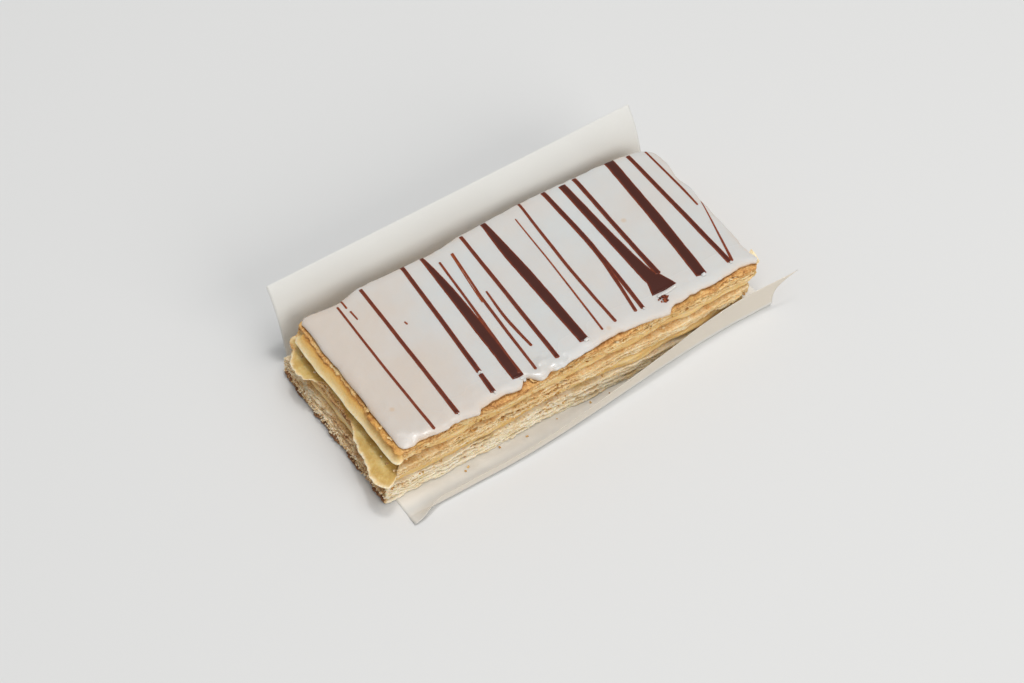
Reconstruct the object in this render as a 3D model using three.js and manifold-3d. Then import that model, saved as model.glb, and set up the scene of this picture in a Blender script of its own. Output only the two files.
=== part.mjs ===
// Mille feuille slice: three sheets of puff pastry with two layers of custard between them and a
// fondant icing striped with chocolate, lying on the folded sheet of greaseproof paper it comes in.
// Millimetres. +X runs along the slice, +Y to its back and +Z up. The origin is on the underside
// of the paper, below the middle of the slice.
import * as THREE from "three";
import { mergeVertices } from "three/addons/utils/BufferGeometryUtils.js";
import Module from "manifold-3d";

const { degToRad, lerp, smoothstep } = THREE.MathUtils;
const wasm = await Module();
wasm.setup();

// ---- Driving sizes -------------------------------------------------------------------------

const HALF_LENGTH = 64; // from the middle of the slice to an end of the top pastry sheet
const DOME = 0.055; // share by which every layer stands higher in the middle than at the ends
const GAP = 0.3; // clearance between neighbouring pieces

const LONG_STEPS = 34; // straight stretches along each long side of a layer
const END_STEPS = 13; // and along each short end
const CORNER = 3; // radius of a layer's corners
const RAGGED = 0.5; // how far a layer's edge strays from its line

// The layers from the paper up: how thick they are at their ends, and where their edges lie. They
// have slid on each other, so the lower ones reach further left.
const LAYERS = {
  pastry_bottom: { thick: 4.8, left: -70.2, right: 60.0, front: -29.7, back: 29.9, seed: 11 },
  custard_lower: { thick: 2.4, left: -66.6, right: 60.6, front: -29.0, back: 29.3, seed: 23 },
  pastry_middle: { thick: 3.9, left: -66.4, right: 62.2, front: -29.8, back: 30.2, seed: 37 },
  custard_upper: { thick: 2.4, left: -64.4, right: 62.6, front: -28.9, back: 29.4, seed: 41 },
  pastry_top: { thick: 3.9, left: -63.6, right: 64.8, front: -29.5, back: 30.2, seed: 53 },
};
const ICING = { thick: 1.5, left: -62.8, right: 65.4, seed: 67 };

// A pastry sheet is a few leaves with a groove between each two.
const LEAVES = 4;
const GROOVE_DEPTH = 0.8;
const GROOVE_SHARE = 0.3; // of the height of a leaf and its groove
const LEAF_SHIFT = 0.35; // how far one leaf's edge stands from the next
const LEAF_SLOPE = 0.15; // how far a leaf's lower edge lies behind its upper one
const NO_LEAF = -1; // the number of the outline that every groove follows

// Leaves that stand out at the left end: reach is how far, at the place y and fading over spread.
// A spread of null is the whole end.
const TONGUES = {
  pastry_top: [{ leaf: 0, y: 0, spread: null, reach: 3.6 }],
  pastry_middle: [
    { leaf: 3, y: 20, spread: 7, reach: 4.6 },
    { leaf: 3, y: -27, spread: 13, reach: 7.0 },
    { leaf: 2, y: 22, spread: 7, reach: 2.0 },
    { leaf: 2, y: -27, spread: 12, reach: 3.0 },
  ],
  pastry_bottom: [{ leaf: 0, y: -31, spread: 7, reach: -2.4 }],
};

// How far inside its outline a custard layer lies at evenly spaced heights, from the bottom up.
const CUSTARD_BULGE = [0.7, 0, 0.1, 0.8];

// The icing's front edge as it runs over the pastry, and its back edge, as points [x, y].
const ICING_FRONT = [
  [-62.8, -29.6], [-56, -29.5], [-49, -30.4], [-44, -30.1], [-37.6, -31.4], [-35.4, -29.7],
  [-29, -29.4], [-22.4, -30.2], [-19.6, -27.6], [-15.2, -31.2], [-11, -29.9], [-7, -30.3],
  [0, -29.6], [13, -28.8], [21, -29.7], [29.4, -31.0], [34, -28.8], [44, -28.2], [54, -28.1],
  [60, -27.4], [65.4, -28.4],
];
const ICING_BACK = [
  [-62.8, 28.7], [-50, 27.7], [-42, 29.3], [-27, 28.8], [-16, 28.5], [-6, 29.7], [4, 30.3],
  [17, 30.9], [26, 31.0], [38, 30.8], [50, 30.6], [58, 30.0], [65.4, 28.0],
];
// Rings that round the icing's edge: share of its thickness and how far inside its outline.
const ICING_RINGS = [
  { up: 0, inside: 1.0 },
  { up: 0.25, inside: 0.1 },
  { up: 0.65, inside: 0 },
  { up: 0.9, inside: 0.55 },
  { up: 1, inside: 1.6 },
];

// Chocolate lines run from the back of the icing to the front: points [x, y, width].
const STRIPES = [
  [[-51.2, 26.4, 0.8], [-51.3, -29.0, 0.9]],
  [[-41.9, 28.0, 1.2], [-42.8, -28.2, 1.4]],
  [[-26.9, 28.4, 1.3], [-28.4, 0, 1.5], [-30.1, -27.6, 1.7]],
  [[-20.2, 28.0, 1.2], [-20.0, 15, 2.6], [-20.3, 0, 3.2], [-21.0, -28.0, 3.4]],
  [[-16.5, 23.7, 0.8], [-18.0, 0, 0.8], [-19.9, -24.4, 0.9]],
  [[-11.3, 24.6, 0.9], [-12.9, 9.8, 0.8], [-13.7, 1.8, 1.0], [-15.1, -27.4, 0.9]],
  [[-11.0, 6.1, 0.8], [-11.3, -19.3, 1.0]],
  [[-5.6, 28.8, 1.2], [-7.4, -27.4, 1.5]],
  [[2.9, 29.4, 1.5], [2.8, 14, 3.0], [2.9, 0, 3.1], [2.8, -26.4, 3.0]],
  [[16.7, 30.0, 0.9], [15.0, 1.7, 1.1], [14.6, -25.5, 0.9]],
  [[25.5, 30.0, 1.6], [25.8, 3.4, 1.6], [21.9, -25.4, 1.1]],
  [[25.8, 3.4, 1.0], [24.4, -25.6, 1.2]],
  [[32.1, 29.4, 2.4], [32.2, 0, 3.0], [33.6, -14.5, 4.4], [34.4, -21.6, 8.2]],
  [[36.9, 29.6, 1.5], [36.2, -14.4, 1.6]],
  [[50.3, 29.8, 3.0], [47.0, -24.3, 3.3]],
  [[56.8, 28.8, 1.3], [57.3, -24.6, 1.5]],
  [[62.6, 26.8, 0.8], [63.0, -0.1, 0.8]],
  [[64.2, 1.0, 0.8], [58.2, -24.4, 0.9]],
];
const STRIPE_RISE = 0.3; // how far a line stands above the icing
const STRIPE_ROOT = 0.4; // and how far it goes into it
const STRIPE_SLOPE = 0.12; // how much narrower it is at its top, on each side
const STRIPE_STEP = 11; // longest straight stretch of a line

// The sheet of paper: flat under the slice, folded up steeply behind it and turned up in front
// along a crease that runs slanting away from the slice towards the left.
const PAPER = {
  thickness: 0.5,
  left: -66.5,
  right: 66,
  foldRadius: 1.3,
  backFold: 31,
  backLength: 27,
  backGrowth: 2.3, // how much longer the back flap is at its right end
  backAngle: 82, // degrees above the table just past the fold
  backEase: 36, // and how many degrees less at its free edge
  frontFold: -30.3,
  frontLength: 11.2,
  frontFlat: 7.3, // how much of it still lies flat at the left
  frontSlant: [-38, 56], // the crease runs in to the slice between these places
  frontAngle: 93,
  cornerAngle: 12, // how far the front left corner is turned up
  cornerReach: 11,
  rightSlant: 3.5, // how far the right edge runs out between the slice's middle and the front fold
  earReach: 9.5, // how much further the corner at the front right is drawn out
  earShape: 6, // the higher, the thinner the ear
};
const PAPER_STEPS = 28; // straight stretches along the slice
const FLAP_STEPS = 5; // and up the back flap
const BENDS = [1 / 3, 2 / 3, 1]; // places round a fold
const FREE = [0.4, 0.7, 0.88, 1]; // and from the front fold to the free edge
const EAR_PART = 0.7; // share of the front flap's height above its fold

// ---- Uneven edges --------------------------------------------------------------------------

// A fixed number from 0 to 1 for each whole number and seed.
function chance(whole, seed) {
  const wild = Math.sin(whole * 12.9898 + seed * 78.233) * 43758.5453;
  return wild - Math.floor(wild);
}

// A smooth uneven line from -1 to 1 that has one bump or dip for each unit of place.
function uneven(place, seed) {
  const start = Math.floor(place);
  const ease = smoothstep(place, start, start + 1);
  return 2 * lerp(chance(start, seed), chance(start + 1, seed), ease) - 1;
}

// The height at the ends of each layer's underside and top, one gap above the piece below it.
function stackHeights() {
  const heights = {};
  let low = PAPER.thickness + GAP;
  for (const [name, { thick }] of [...Object.entries(LAYERS), ["icing", ICING]]) {
    heights[name] = { low, high: low + thick };
    low += thick + GAP;
  }
  return heights;
}
const HEIGHTS = stackHeights();

// The value of a list of [place, value] pairs at a place, eased from point to point.
function along(points, place) {
  let after = points.findIndex((point) => point[0] > place);
  if (after < 0) after = points.length - 1;
  after = Math.max(after, 1);
  const [from, to] = [points[after - 1], points[after]];
  return lerp(from[1], to[1], smoothstep(place, from[0], to[0]));
}

// How far the corner of an outline is cut back at this distance from the end of its side.
function cornerCut(distance) {
  const share = Math.max(0, 1 - distance / CORNER);
  return 0.3 * CORNER * share * share;
}

// Every layer is a little higher in the middle of the slice.
function domed(x, z) {
  return z * (1 + DOME * (1 - (x / HALF_LENGTH) ** 2));
}

// ---- Outlines and solids -------------------------------------------------------------------

// An outline seen from above, anticlockwise from the front left corner, as a list of [x, y].
// front and back give y for a place x; left and right give x for a place y.
function outline({ left, right, front, back }, inside = 0) {
  const [leftEnd, rightEnd] = [left(0), right(0)];
  const points = [];
  const onLongSide = (step, side, turn) => {
    const x = lerp(leftEnd, rightEnd, step / LONG_STEPS);
    const cut = cornerCut(Math.min(x - leftEnd, rightEnd - x));
    const slide = lerp(inside, -inside, step / LONG_STEPS);
    points.push([x + slide, side(x) + turn * (cut + inside)]);
  };
  const onEnd = (step, side, end, turn) => {
    const [low, high] = [front(end), back(end)];
    const y = lerp(low, high, step / END_STEPS);
    const cut = cornerCut(Math.min(y - low, high - y));
    const slide = lerp(inside, -inside, step / END_STEPS);
    points.push([side(y) + turn * (cut + inside), y + slide]);
  };
  for (let step = 1; step < LONG_STEPS; step++) onLongSide(step, front, 1);
  for (let step = 0; step <= END_STEPS; step++) onEnd(step, right, rightEnd, -1);
  for (let step = LONG_STEPS - 1; step > 0; step--) onLongSide(step, back, -1);
  for (let step = END_STEPS; step >= 0; step--) onEnd(step, left, leftEnd, 1);
  return points;
}

// Triangles that close a ring: strips from side to side, and a filled polygon at each end.
function capTriangles(ring) {
  const lastLong = LONG_STEPS - 2;
  const backStart = LONG_STEPS + END_STEPS;
  const triangles = [];
  for (let step = 0; step < lastLong; step++) {
    const [a, b] = [step, step + 1];
    const [c, d] = [backStart + lastLong - step - 1, backStart + lastLong - step];
    triangles.push([a, b, c], [a, c, d]);
  }
  const range = (from, count) => Array.from({ length: count }, (_, step) => from + step);
  const rightEnd = range(lastLong, END_STEPS + 3);
  const leftEnd = [...range(backStart + lastLong, END_STEPS + 2), 0];
  for (const patch of [rightEnd, leftEnd]) {
    const contour = patch.map((index) => new THREE.Vector2(ring[index][0], ring[index][1]));
    for (const face of THREE.ShapeUtils.triangulateShape(contour, [])) {
      triangles.push(face.map((corner) => patch[corner]));
    }
  }
  return triangles;
}

// A solid from rings of points [x, y, z] stacked upwards, closed below and above.
function stackSolid(rings) {
  const count = rings[0].length;
  const faces = [];
  for (let level = 0; level + 1 < rings.length; level++) {
    for (let step = 0; step < count; step++) {
      const next = (step + 1) % count;
      const [a, b] = [level * count + step, level * count + next];
      faces.push([a, b, b + count], [a, b + count, a + count]);
    }
  }
  const top = (rings.length - 1) * count;
  for (const [a, b, c] of capTriangles(rings[0])) faces.push([a, c, b]);
  for (const [a, b, c] of capTriangles(rings.at(-1))) faces.push([top + a, top + b, top + c]);
  return geometryOf(rings.flat(), faces);
}

function geometryOf(points, faces) {
  const geometry = new THREE.BufferGeometry();
  geometry.setAttribute("position", new THREE.Float32BufferAttribute(points.flat(), 3));
  geometry.setIndex(faces.flat());
  return geometry;
}

function solidOf(geometry) {
  const merged = mergeVertices(geometry);
  return new wasm.Manifold(
    new wasm.Mesh({
      numProp: 3,
      vertProperties: merged.attributes.position.array,
      triVerts: new Uint32Array(merged.index.array),
    }),
  );
}

function meshGeometry(solid) {
  const mesh = solid.getMesh();
  const geometry = new THREE.BufferGeometry();
  geometry.setAttribute("position", new THREE.BufferAttribute(mesh.vertProperties, 3));
  geometry.setIndex(new THREE.BufferAttribute(mesh.triVerts, 1));
  return geometry;
}

// ---- Pastry and custard --------------------------------------------------------------------

// How far the tongues of one leaf reach past the sheet's left edge at a place y.
function tongueReach(name, leaf, y) {
  let reach = 0;
  for (const tongue of TONGUES[name] ?? []) {
    if (tongue.leaf !== leaf) continue;
    reach += tongue.reach * (tongue.spread ? Math.exp(-(((y - tongue.y) / tongue.spread) ** 2)) : 1);
  }
  return reach;
}

// The four edge lines of one leaf, or of a custard layer, which counts as a single leaf.
function edgeLines(name, leaf) {
  const layer = LAYERS[name];
  const seed = layer.seed + leaf * 5;
  const shift = (side) => LEAF_SHIFT * uneven(leaf + 0.5, layer.seed + side);
  const stray = (place, side) => {
    return RAGGED * (0.6 * uneven(place / 9, seed + side) + 0.4 * uneven(place / 4, seed + side + 40));
  };
  return {
    left: (y) => layer.left - tongueReach(name, leaf, y) + shift(1) + stray(y, 1),
    right: (y) => layer.right + shift(2) + stray(y, 2),
    front: (x) => layer.front + shift(3) + stray(x, 3),
    back: (x) => layer.back + shift(4) + stray(x, 4),
  };
}

function ringAt(name, leaf, height, inside) {
  return outline(edgeLines(name, leaf), inside).map(([x, y]) => [x, y, domed(x, height)]);
}

// A sheet of puff pastry: its leaves show at every edge as ridges with grooves between them.
function pastrySheet(name) {
  const { low, high } = HEIGHTS[name];
  const pitch = (high - low) / (LEAVES - GROOVE_SHARE);
  const rings = [];
  for (let leaf = 0; leaf < LEAVES; leaf++) {
    const bottom = low + leaf * pitch;
    const top = bottom + pitch * (1 - GROOVE_SHARE);
    rings.push(ringAt(name, leaf, bottom, LEAF_SLOPE), ringAt(name, leaf, top, 0));
    if (leaf + 1 < LEAVES) {
      rings.push(ringAt(name, NO_LEAF, top + (pitch * GROOVE_SHARE) / 2, GROOVE_DEPTH));
    }
  }
  return stackSolid(rings);
}

// A layer of custard, pressed out a little between the sheets at half its height.
function custardLayer(name) {
  const { low, high } = HEIGHTS[name];
  const rings = CUSTARD_BULGE.map((inside, level) => {
    return ringAt(name, 0, lerp(low, high, level / (CUSTARD_BULGE.length - 1)), inside);
  });
  return stackSolid(rings);
}

// ---- Icing and chocolate -------------------------------------------------------------------

function icingTop(x) {
  return domed(x, HEIGHTS.icing.high);
}

function icingSlab() {
  const lines = {
    left: (y) => ICING.left + 0.3 * uneven(y / 7, ICING.seed),
    right: (y) => ICING.right + 0.9 * uneven(y / 7, ICING.seed + 1),
    front: (x) => along(ICING_FRONT, x),
    back: (x) => along(ICING_BACK, x),
  };
  return stackSolid(
    ICING_RINGS.map(({ up, inside }) => {
      const height = HEIGHTS.icing.low + up * ICING.thick;
      return outline(lines, inside).map(([x, y]) => [x, y, domed(x, height)]);
    }),
  );
}

// A chocolate line as a low bar with sloping sides, following the top of the icing.
function stripeBar(points) {
  const stations = [];
  for (let index = 0; index + 1 < points.length; index++) {
    const [from, to] = [points[index], points[index + 1]];
    const steps = Math.max(1, Math.round(Math.hypot(to[0] - from[0], to[1] - from[1]) / STRIPE_STEP));
    for (let step = 0; step < steps; step++) {
      stations.push(from.map((value, axis) => lerp(value, to[axis], step / steps)));
    }
  }
  stations.push(points.at(-1));
  const vertices = [];
  for (const [x, y, width] of stations) {
    const [foot, crown] = [width / 2, width / 2 - STRIPE_SLOPE];
    const [low, high] = [icingTop(x) - STRIPE_ROOT, icingTop(x) + STRIPE_RISE];
    vertices.push([x - foot, y, low], [x + foot, y, low], [x + crown, y, high], [x - crown, y, high]);
  }
  const faces = [[0, 2, 1], [0, 3, 2]];
  for (let station = 0; station + 1 < stations.length; station++) {
    for (let corner = 0; corner < 4; corner++) {
      const [a, b] = [station * 4 + corner, station * 4 + ((corner + 1) % 4)];
      faces.push([a, b + 4, a + 4], [a, b, b + 4]);
    }
  }
  const last = (stations.length - 1) * 4;
  faces.push([last, last + 1, last + 2], [last, last + 2, last + 3]);
  return geometryOf(vertices, faces);
}

function icingWithStripes() {
  let solid = solidOf(icingSlab());
  for (const points of STRIPES) solid = solid.add(solidOf(stripeBar(points)));
  return meshGeometry(solid);
}

// ---- Paper ---------------------------------------------------------------------------------

// The paper's middle surface across the slice at a place x: points [y, z, ear] from the top of the
// back flap, down and along under the slice, to the free edge in front. z is above the middle of
// the flat part, and ear goes from 0 to 1 over the front flap.
function paperProfile(x) {
  const bend = (angle) => [PAPER.foldRadius * Math.sin(angle), PAPER.foldRadius * (1 - Math.cos(angle))];

  const back = [];
  for (const part of BENDS) {
    const [out, up] = bend(degToRad(PAPER.backAngle * part));
    back.unshift([PAPER.backFold + out, up, 0]);
  }
  const length = PAPER.backLength + (PAPER.backGrowth * (x - PAPER.left)) / (PAPER.right - PAPER.left);
  for (let step = 0; step < FLAP_STEPS; step++) {
    const share = (step + 0.5) / FLAP_STEPS;
    const angle = degToRad(PAPER.backAngle - PAPER.backEase * share * share);
    const [y, z] = back[0];
    const stride = length / FLAP_STEPS;
    back.unshift([y + stride * Math.cos(angle), z + stride * Math.sin(angle), 0]);
  }

  const flat = PAPER.frontFlat * (1 - smoothstep(x, ...PAPER.frontSlant));
  const crease = PAPER.frontFold - flat;
  const lifted = smoothstep(x, PAPER.left, PAPER.left + PAPER.cornerReach);
  const angle = degToRad(lerp(PAPER.cornerAngle, PAPER.frontAngle, lifted));
  const front = [];
  for (const part of BENDS) {
    const [out, up] = bend(angle * part);
    front.push([crease - out, up, (1 - EAR_PART) * part]);
  }
  const [y, z] = front.at(-1);
  const free = PAPER.frontLength - flat - PAPER.foldRadius * angle;
  for (const part of FREE) {
    const ear = 1 - EAR_PART * (1 - part);
    front.push([y - free * part * Math.cos(angle), z + free * part * Math.sin(angle), ear]);
  }
  const bed = [PAPER.backFold, 0, PAPER.frontFold, crease].map((place) => [place, 0, 0]);
  return [...back, ...bed, ...front];
}

// The right edge of the sheet: straight, then drawn out to a pointed ear at the front corner.
function paperRight(y, ear) {
  const slant = PAPER.rightSlant * smoothstep(-y, 0, -PAPER.frontFold);
  return PAPER.right + slant + PAPER.earReach * ear ** PAPER.earShape;
}

// Which way the sheet's upper side faces at each point of a profile.
function profileNormals(profile) {
  return profile.map((_, index) => {
    const before = profile[Math.max(index - 1, 0)];
    const after = profile[Math.min(index + 1, profile.length - 1)];
    const [dy, dz] = [after[0] - before[0], after[1] - before[1]];
    const size = Math.hypot(dy, dz);
    return [dz / size, -dy / size];
  });
}

function paperSheet() {
  const half = PAPER.thickness / 2;
  const across = paperProfile(0).length;
  const [upper, lower] = [[], []];
  for (let i = 0; i <= PAPER_STEPS; i++) {
    const share = i / PAPER_STEPS;
    const profile = paperProfile(lerp(PAPER.left, PAPER.right, share));
    const normals = profileNormals(profile);
    profile.forEach(([y, z, ear], j) => {
      const x = lerp(PAPER.left, paperRight(y, ear), share);
      const [ny, nz] = normals[j];
      upper.push([x, y + half * ny, half + z + half * nz]);
      lower.push([x, y - half * ny, half + z - half * nz]);
    });
  }
  const at = (i, j) => i * across + j;
  const faces = [];
  const quad = (a, b, c, d) => faces.push([a, b, c], [a, c, d]);
  const under = upper.length;
  for (let i = 0; i < PAPER_STEPS; i++) {
    for (let j = 0; j + 1 < across; j++) {
      const [a, b, c, d] = [at(i, j), at(i + 1, j), at(i + 1, j + 1), at(i, j + 1)];
      quad(a, d, c, b);
      quad(under + a, under + b, under + c, under + d);
    }
  }
  const rim = [];
  for (let i = 0; i < PAPER_STEPS; i++) rim.push(at(i, 0));
  for (let j = 0; j + 1 < across; j++) rim.push(at(PAPER_STEPS, j));
  for (let i = PAPER_STEPS; i > 0; i--) rim.push(at(i, across - 1));
  for (let j = across - 1; j > 0; j--) rim.push(at(0, j));
  rim.forEach((from, index) => {
    const to = rim[(index + 1) % rim.length];
    quad(from, to, under + to, under + from);
  });
  return geometryOf([...upper, ...lower], faces);
}

// ---- The slice -----------------------------------------------------------------------------

const finishes = {
  baked_pastry: new THREE.MeshStandardMaterial({ color: 0xd9a458, roughness: 0.75, metalness: 0 }),
  custard: new THREE.MeshStandardMaterial({ color: 0xe3c878, roughness: 0.45, metalness: 0 }),
  fondant: new THREE.MeshStandardMaterial({ color: 0xe6e1db, roughness: 0.25, metalness: 0 }),
  greaseproof: new THREE.MeshStandardMaterial({ color: 0xdcdcd6, roughness: 0.6, metalness: 0 }),
};

const slice = new THREE.Group();

function addPiece(name, geometry, finish) {
  const piece = new THREE.Mesh(geometry, finishes[finish]);
  piece.name = name;
  slice.add(piece);
}

addPiece("paper", paperSheet(), "greaseproof");
for (const name of Object.keys(LAYERS)) {
  const isCustard = name.startsWith("custard");
  addPiece(name, isCustard ? custardLayer(name) : pastrySheet(name), isCustard ? "custard" : "baked_pastry");
}
addPiece("icing", icingWithStripes(), "fondant");

export default slice;
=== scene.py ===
"""The looks of a mille feuille slice: puff pastry, custard, striped fondant and the sheet of
greaseproof paper that it lies on."""

import math
from functools import partial

import bpy
import numpy as np
from mathutils import Matrix, Vector


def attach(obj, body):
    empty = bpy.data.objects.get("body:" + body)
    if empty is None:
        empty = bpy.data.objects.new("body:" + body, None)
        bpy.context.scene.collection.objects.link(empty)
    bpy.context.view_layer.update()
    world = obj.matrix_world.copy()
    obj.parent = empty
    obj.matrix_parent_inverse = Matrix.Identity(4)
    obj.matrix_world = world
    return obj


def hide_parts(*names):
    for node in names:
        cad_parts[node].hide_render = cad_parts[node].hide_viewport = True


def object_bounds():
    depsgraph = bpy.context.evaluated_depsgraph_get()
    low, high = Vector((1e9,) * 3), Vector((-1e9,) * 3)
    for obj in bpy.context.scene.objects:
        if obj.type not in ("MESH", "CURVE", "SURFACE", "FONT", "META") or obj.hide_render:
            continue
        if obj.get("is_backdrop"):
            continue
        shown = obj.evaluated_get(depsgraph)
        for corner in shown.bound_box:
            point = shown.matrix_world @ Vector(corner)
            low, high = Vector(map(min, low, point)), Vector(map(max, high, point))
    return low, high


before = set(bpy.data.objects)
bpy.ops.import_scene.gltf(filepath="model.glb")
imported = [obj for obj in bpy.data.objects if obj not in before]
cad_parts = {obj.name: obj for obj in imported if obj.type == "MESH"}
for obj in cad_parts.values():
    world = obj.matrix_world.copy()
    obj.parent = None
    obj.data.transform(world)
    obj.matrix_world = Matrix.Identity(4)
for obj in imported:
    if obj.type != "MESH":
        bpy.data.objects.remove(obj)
cad_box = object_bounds()

MM = 0.001  # the shapes below are worked out in millimetres and made in metres
PER_MM = 1 / MM  # for the scales of patterns, which say how many bumps there are to a metre

# ---- The camera --------------------------------------------------------------------------------

CAMERA_AT = Vector((-278.67, -424.82, 615.54)) * MM
CAMERA_TURNED = 32.7090  # degrees from straight in front, to the left
CAMERA_RAISED = 50.5866  # degrees above the table
CAMERA_ROLLED = -0.7480  # and its own turn about its line of sight
FOCAL_LENGTH = 91.4
SENSOR_WIDTH = 36

# ---- Sizes of the slice ------------------------------------------------------------------------

HALF_LENGTH = 64
DOME = 0.055  # share by which every layer stands higher in the middle than at the ends
CORNER = 1.8

# Edges of the icing seen from above: points (x, y).
ICING_FRONT = [
    (-62.8, -29.6), (-56, -29.5), (-49, -30.4), (-44, -30.1), (-37.6, -31.4), (-35.4, -29.7),
    (-29, -29.4), (-22.2, -30.2), (-19.4, -27.9), (-15.2, -31.2), (-11, -29.9), (-7, -30.3),
    (0, -29.6), (13, -28.8), (21, -29.7), (29.4, -31.0), (34, -28.8), (44, -28.2), (54, -28.1),
    (60, -27.4), (65.4, -28.4),
]
ICING_BACK = [
    (-62.8, 28.7), (-50, 27.7), (-42, 29.3), (-27, 28.8), (-16, 28.5), (-6, 29.7), (4, 30.3),
    (17, 30.9), (26, 31.0), (38, 30.8), (50, 30.6), (58, 30.0), (65.4, 28.0),
]
BEYOND = [(-80, 99), (80, 99)]  # a line that nothing reaches

# Heights at the ends of the slice, from the paper up, and where the edges lie. Where a layer
# follows a line, its back stays just behind that line.
LAYERS = {
    "pastry_bottom": dict(low=0.8, high=5.6, left=-70.2, right=60.0, front=-29.7, back=29.9, seed=11),
    "custard_lower": dict(low=5.9, high=8.3, left=-66.6, right=60.6, front=-29.0, back=29.3, seed=23),
    "pastry_middle": dict(low=8.6, high=12.5, left=-66.4, right=62.2, front=-29.8, back=30.2, seed=37),
    "custard_upper": dict(low=12.8, high=15.2, left=-64.4, right=62.6, front=-28.9, back=29.4, seed=41),
    "pastry_top": dict(low=15.5, high=19.4, left=-63.6, right=64.8, front=-29.5, back=30.2, seed=53,
                       follow=ICING_BACK),
}
ICING = dict(low=19.55, high=21.2, left=-62.8, right=65.4, seed=67)

# ---- Node trees --------------------------------------------------------------------------------

# The nodes used most, by the name they go by below: their type, the inputs that values given in
# order go to, the output that is wanted, and their settings.
KINDS = {
    "noise": ("ShaderNodeTexNoise", ("Vector", "Scale", "Detail", "Roughness"), 0, {}),
    "colours": ("ShaderNodeValToRGB", ("Fac",), 0, {}),
    "attribute": ("ShaderNodeAttribute", (), "Fac", {}),
    "stretch": ("ShaderNodeMapping", ("Vector", "Scale"), 0, {}),
    "bump": ("ShaderNodeBump", ("Height", "Strength", "Distance"), 0, {}),
    "range": ("ShaderNodeMapRange", ("Value", "From Min", "From Max", "To Min", "To Max"), 0, {}),
    "ease": ("ShaderNodeMapRange", ("Value", "From Min", "From Max", "To Min", "To Max"), 0,
             {"interpolation_type": "SMOOTHSTEP"}),
    "blend": ("ShaderNodeMix", (0, 2, 3), 0, {"data_type": "FLOAT"}),
    "blend colours": ("ShaderNodeMix", (0, 6, 7), 2, {"data_type": "RGBA"}),
    "join": ("ShaderNodeCombineXYZ", ("X", "Y", "Z"), 0, {}),
    "x": ("ShaderNodeSeparateXYZ", (0,), "X", {}),
    "y": ("ShaderNodeSeparateXYZ", (0,), "Y", {}),
    "z": ("ShaderNodeSeparateXYZ", (0,), "Z", {}),
    "sum": ("ShaderNodeVectorMath", (0, 1), 0, {"operation": "ADD"}),
    "scaled": ("ShaderNodeVectorMath", (0, "Scale"), 0, {"operation": "SCALE"}),
    "place": ("GeometryNodeInputPosition", (), 0, {}),
    "index": ("GeometryNodeInputIndex", (), 0, {}),
    "random": ("FunctionNodeRandomValue", (2, 3, 8, 7), 1, {"data_type": "FLOAT"}),
    "random vector": ("FunctionNodeRandomValue", (0, 1, 8), 0, {"data_type": "FLOAT_VECTOR"}),
    "field": ("GeometryNodeInputNamedAttribute", (0,), 0, {"data_type": "FLOAT"}),
    "store": ("GeometryNodeStoreNamedAttribute", ("Geometry", "Name", "Value"), 0,
              {"data_type": "FLOAT", "domain": "POINT"}),
    "set position": ("GeometryNodeSetPosition", ("Geometry", "Offset"), 0, {}),
    "realize": ("GeometryNodeRealizeInstances", ("Geometry",), 0, {}),
    "set material": ("GeometryNodeSetMaterial", ("Geometry", "Material"), 0, {}),
}
for operation in ("ADD", "SUBTRACT", "MULTIPLY", "MULTIPLY_ADD", "DIVIDE", "POWER", "SQRT", "ABSOLUTE",
                  "MAXIMUM", "MINIMUM"):
    KINDS[operation] = ("ShaderNodeMath", (0, 1, 2), 0, {"operation": operation})


def linear(colour):
    """An sRGB hex colour as linear red, green, blue and alpha."""
    parts = [int(colour[i : i + 2], 16) / 255 for i in (1, 3, 5)]
    return [p / 12.92 if p <= 0.04045 else ((p + 0.055) / 1.055) ** 2.4 for p in parts] + [1.0]


def add(tree, kind, *values, ramp=None, **named):
    """Adds a node to a tree and gives back its output. Values fill its inputs in order. Among the
    named ones, a capital letter marks an input and a small letter one of the node's own settings."""
    kind, sockets, wanted, settings = KINDS.get(kind, (kind, range(len(values)), 0, {}))
    node = tree.nodes.new(kind)
    inputs = dict(zip(sockets, values))
    for name, value in (settings | named).items():
        if name[0].isupper():
            inputs[name.replace("_", " ")] = value
        else:
            setattr(node, name, value)
    for name, value in inputs.items():
        if isinstance(value, bpy.types.NodeSocket):
            tree.links.new(value, node.inputs[name])
        else:
            node.inputs[name].default_value = value
    if ramp:
        stops = node.color_ramp.elements
        while len(stops) < len(ramp):
            stops.new(0.5)
        for stop, (place, colour) in zip(stops, ramp):
            stop.position = place
            stop.color = linear(colour)
    return node.outputs[wanted] if node.outputs else None


def new_tree(name, inputs):
    """A geometry tree with named inputs, each with a number to start from or its kind of socket.
    Gives the tree, the function that adds a node to it, and its inputs."""
    tree = bpy.data.node_groups.new(name, "GeometryNodeTree")
    tree.interface.new_socket("Geometry", in_out="INPUT", socket_type="NodeSocketGeometry")
    for label, value in inputs.items():
        kind = {int: "NodeSocketInt", float: "NodeSocketFloat"}.get(type(value), value)
        socket = tree.interface.new_socket(label, in_out="INPUT", socket_type=kind)
        if kind != value:
            socket.default_value = value
    tree.interface.new_socket("Geometry", in_out="OUTPUT", socket_type="NodeSocketGeometry")
    return tree, partial(add, tree), tree.nodes.new("NodeGroupInput").outputs


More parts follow.
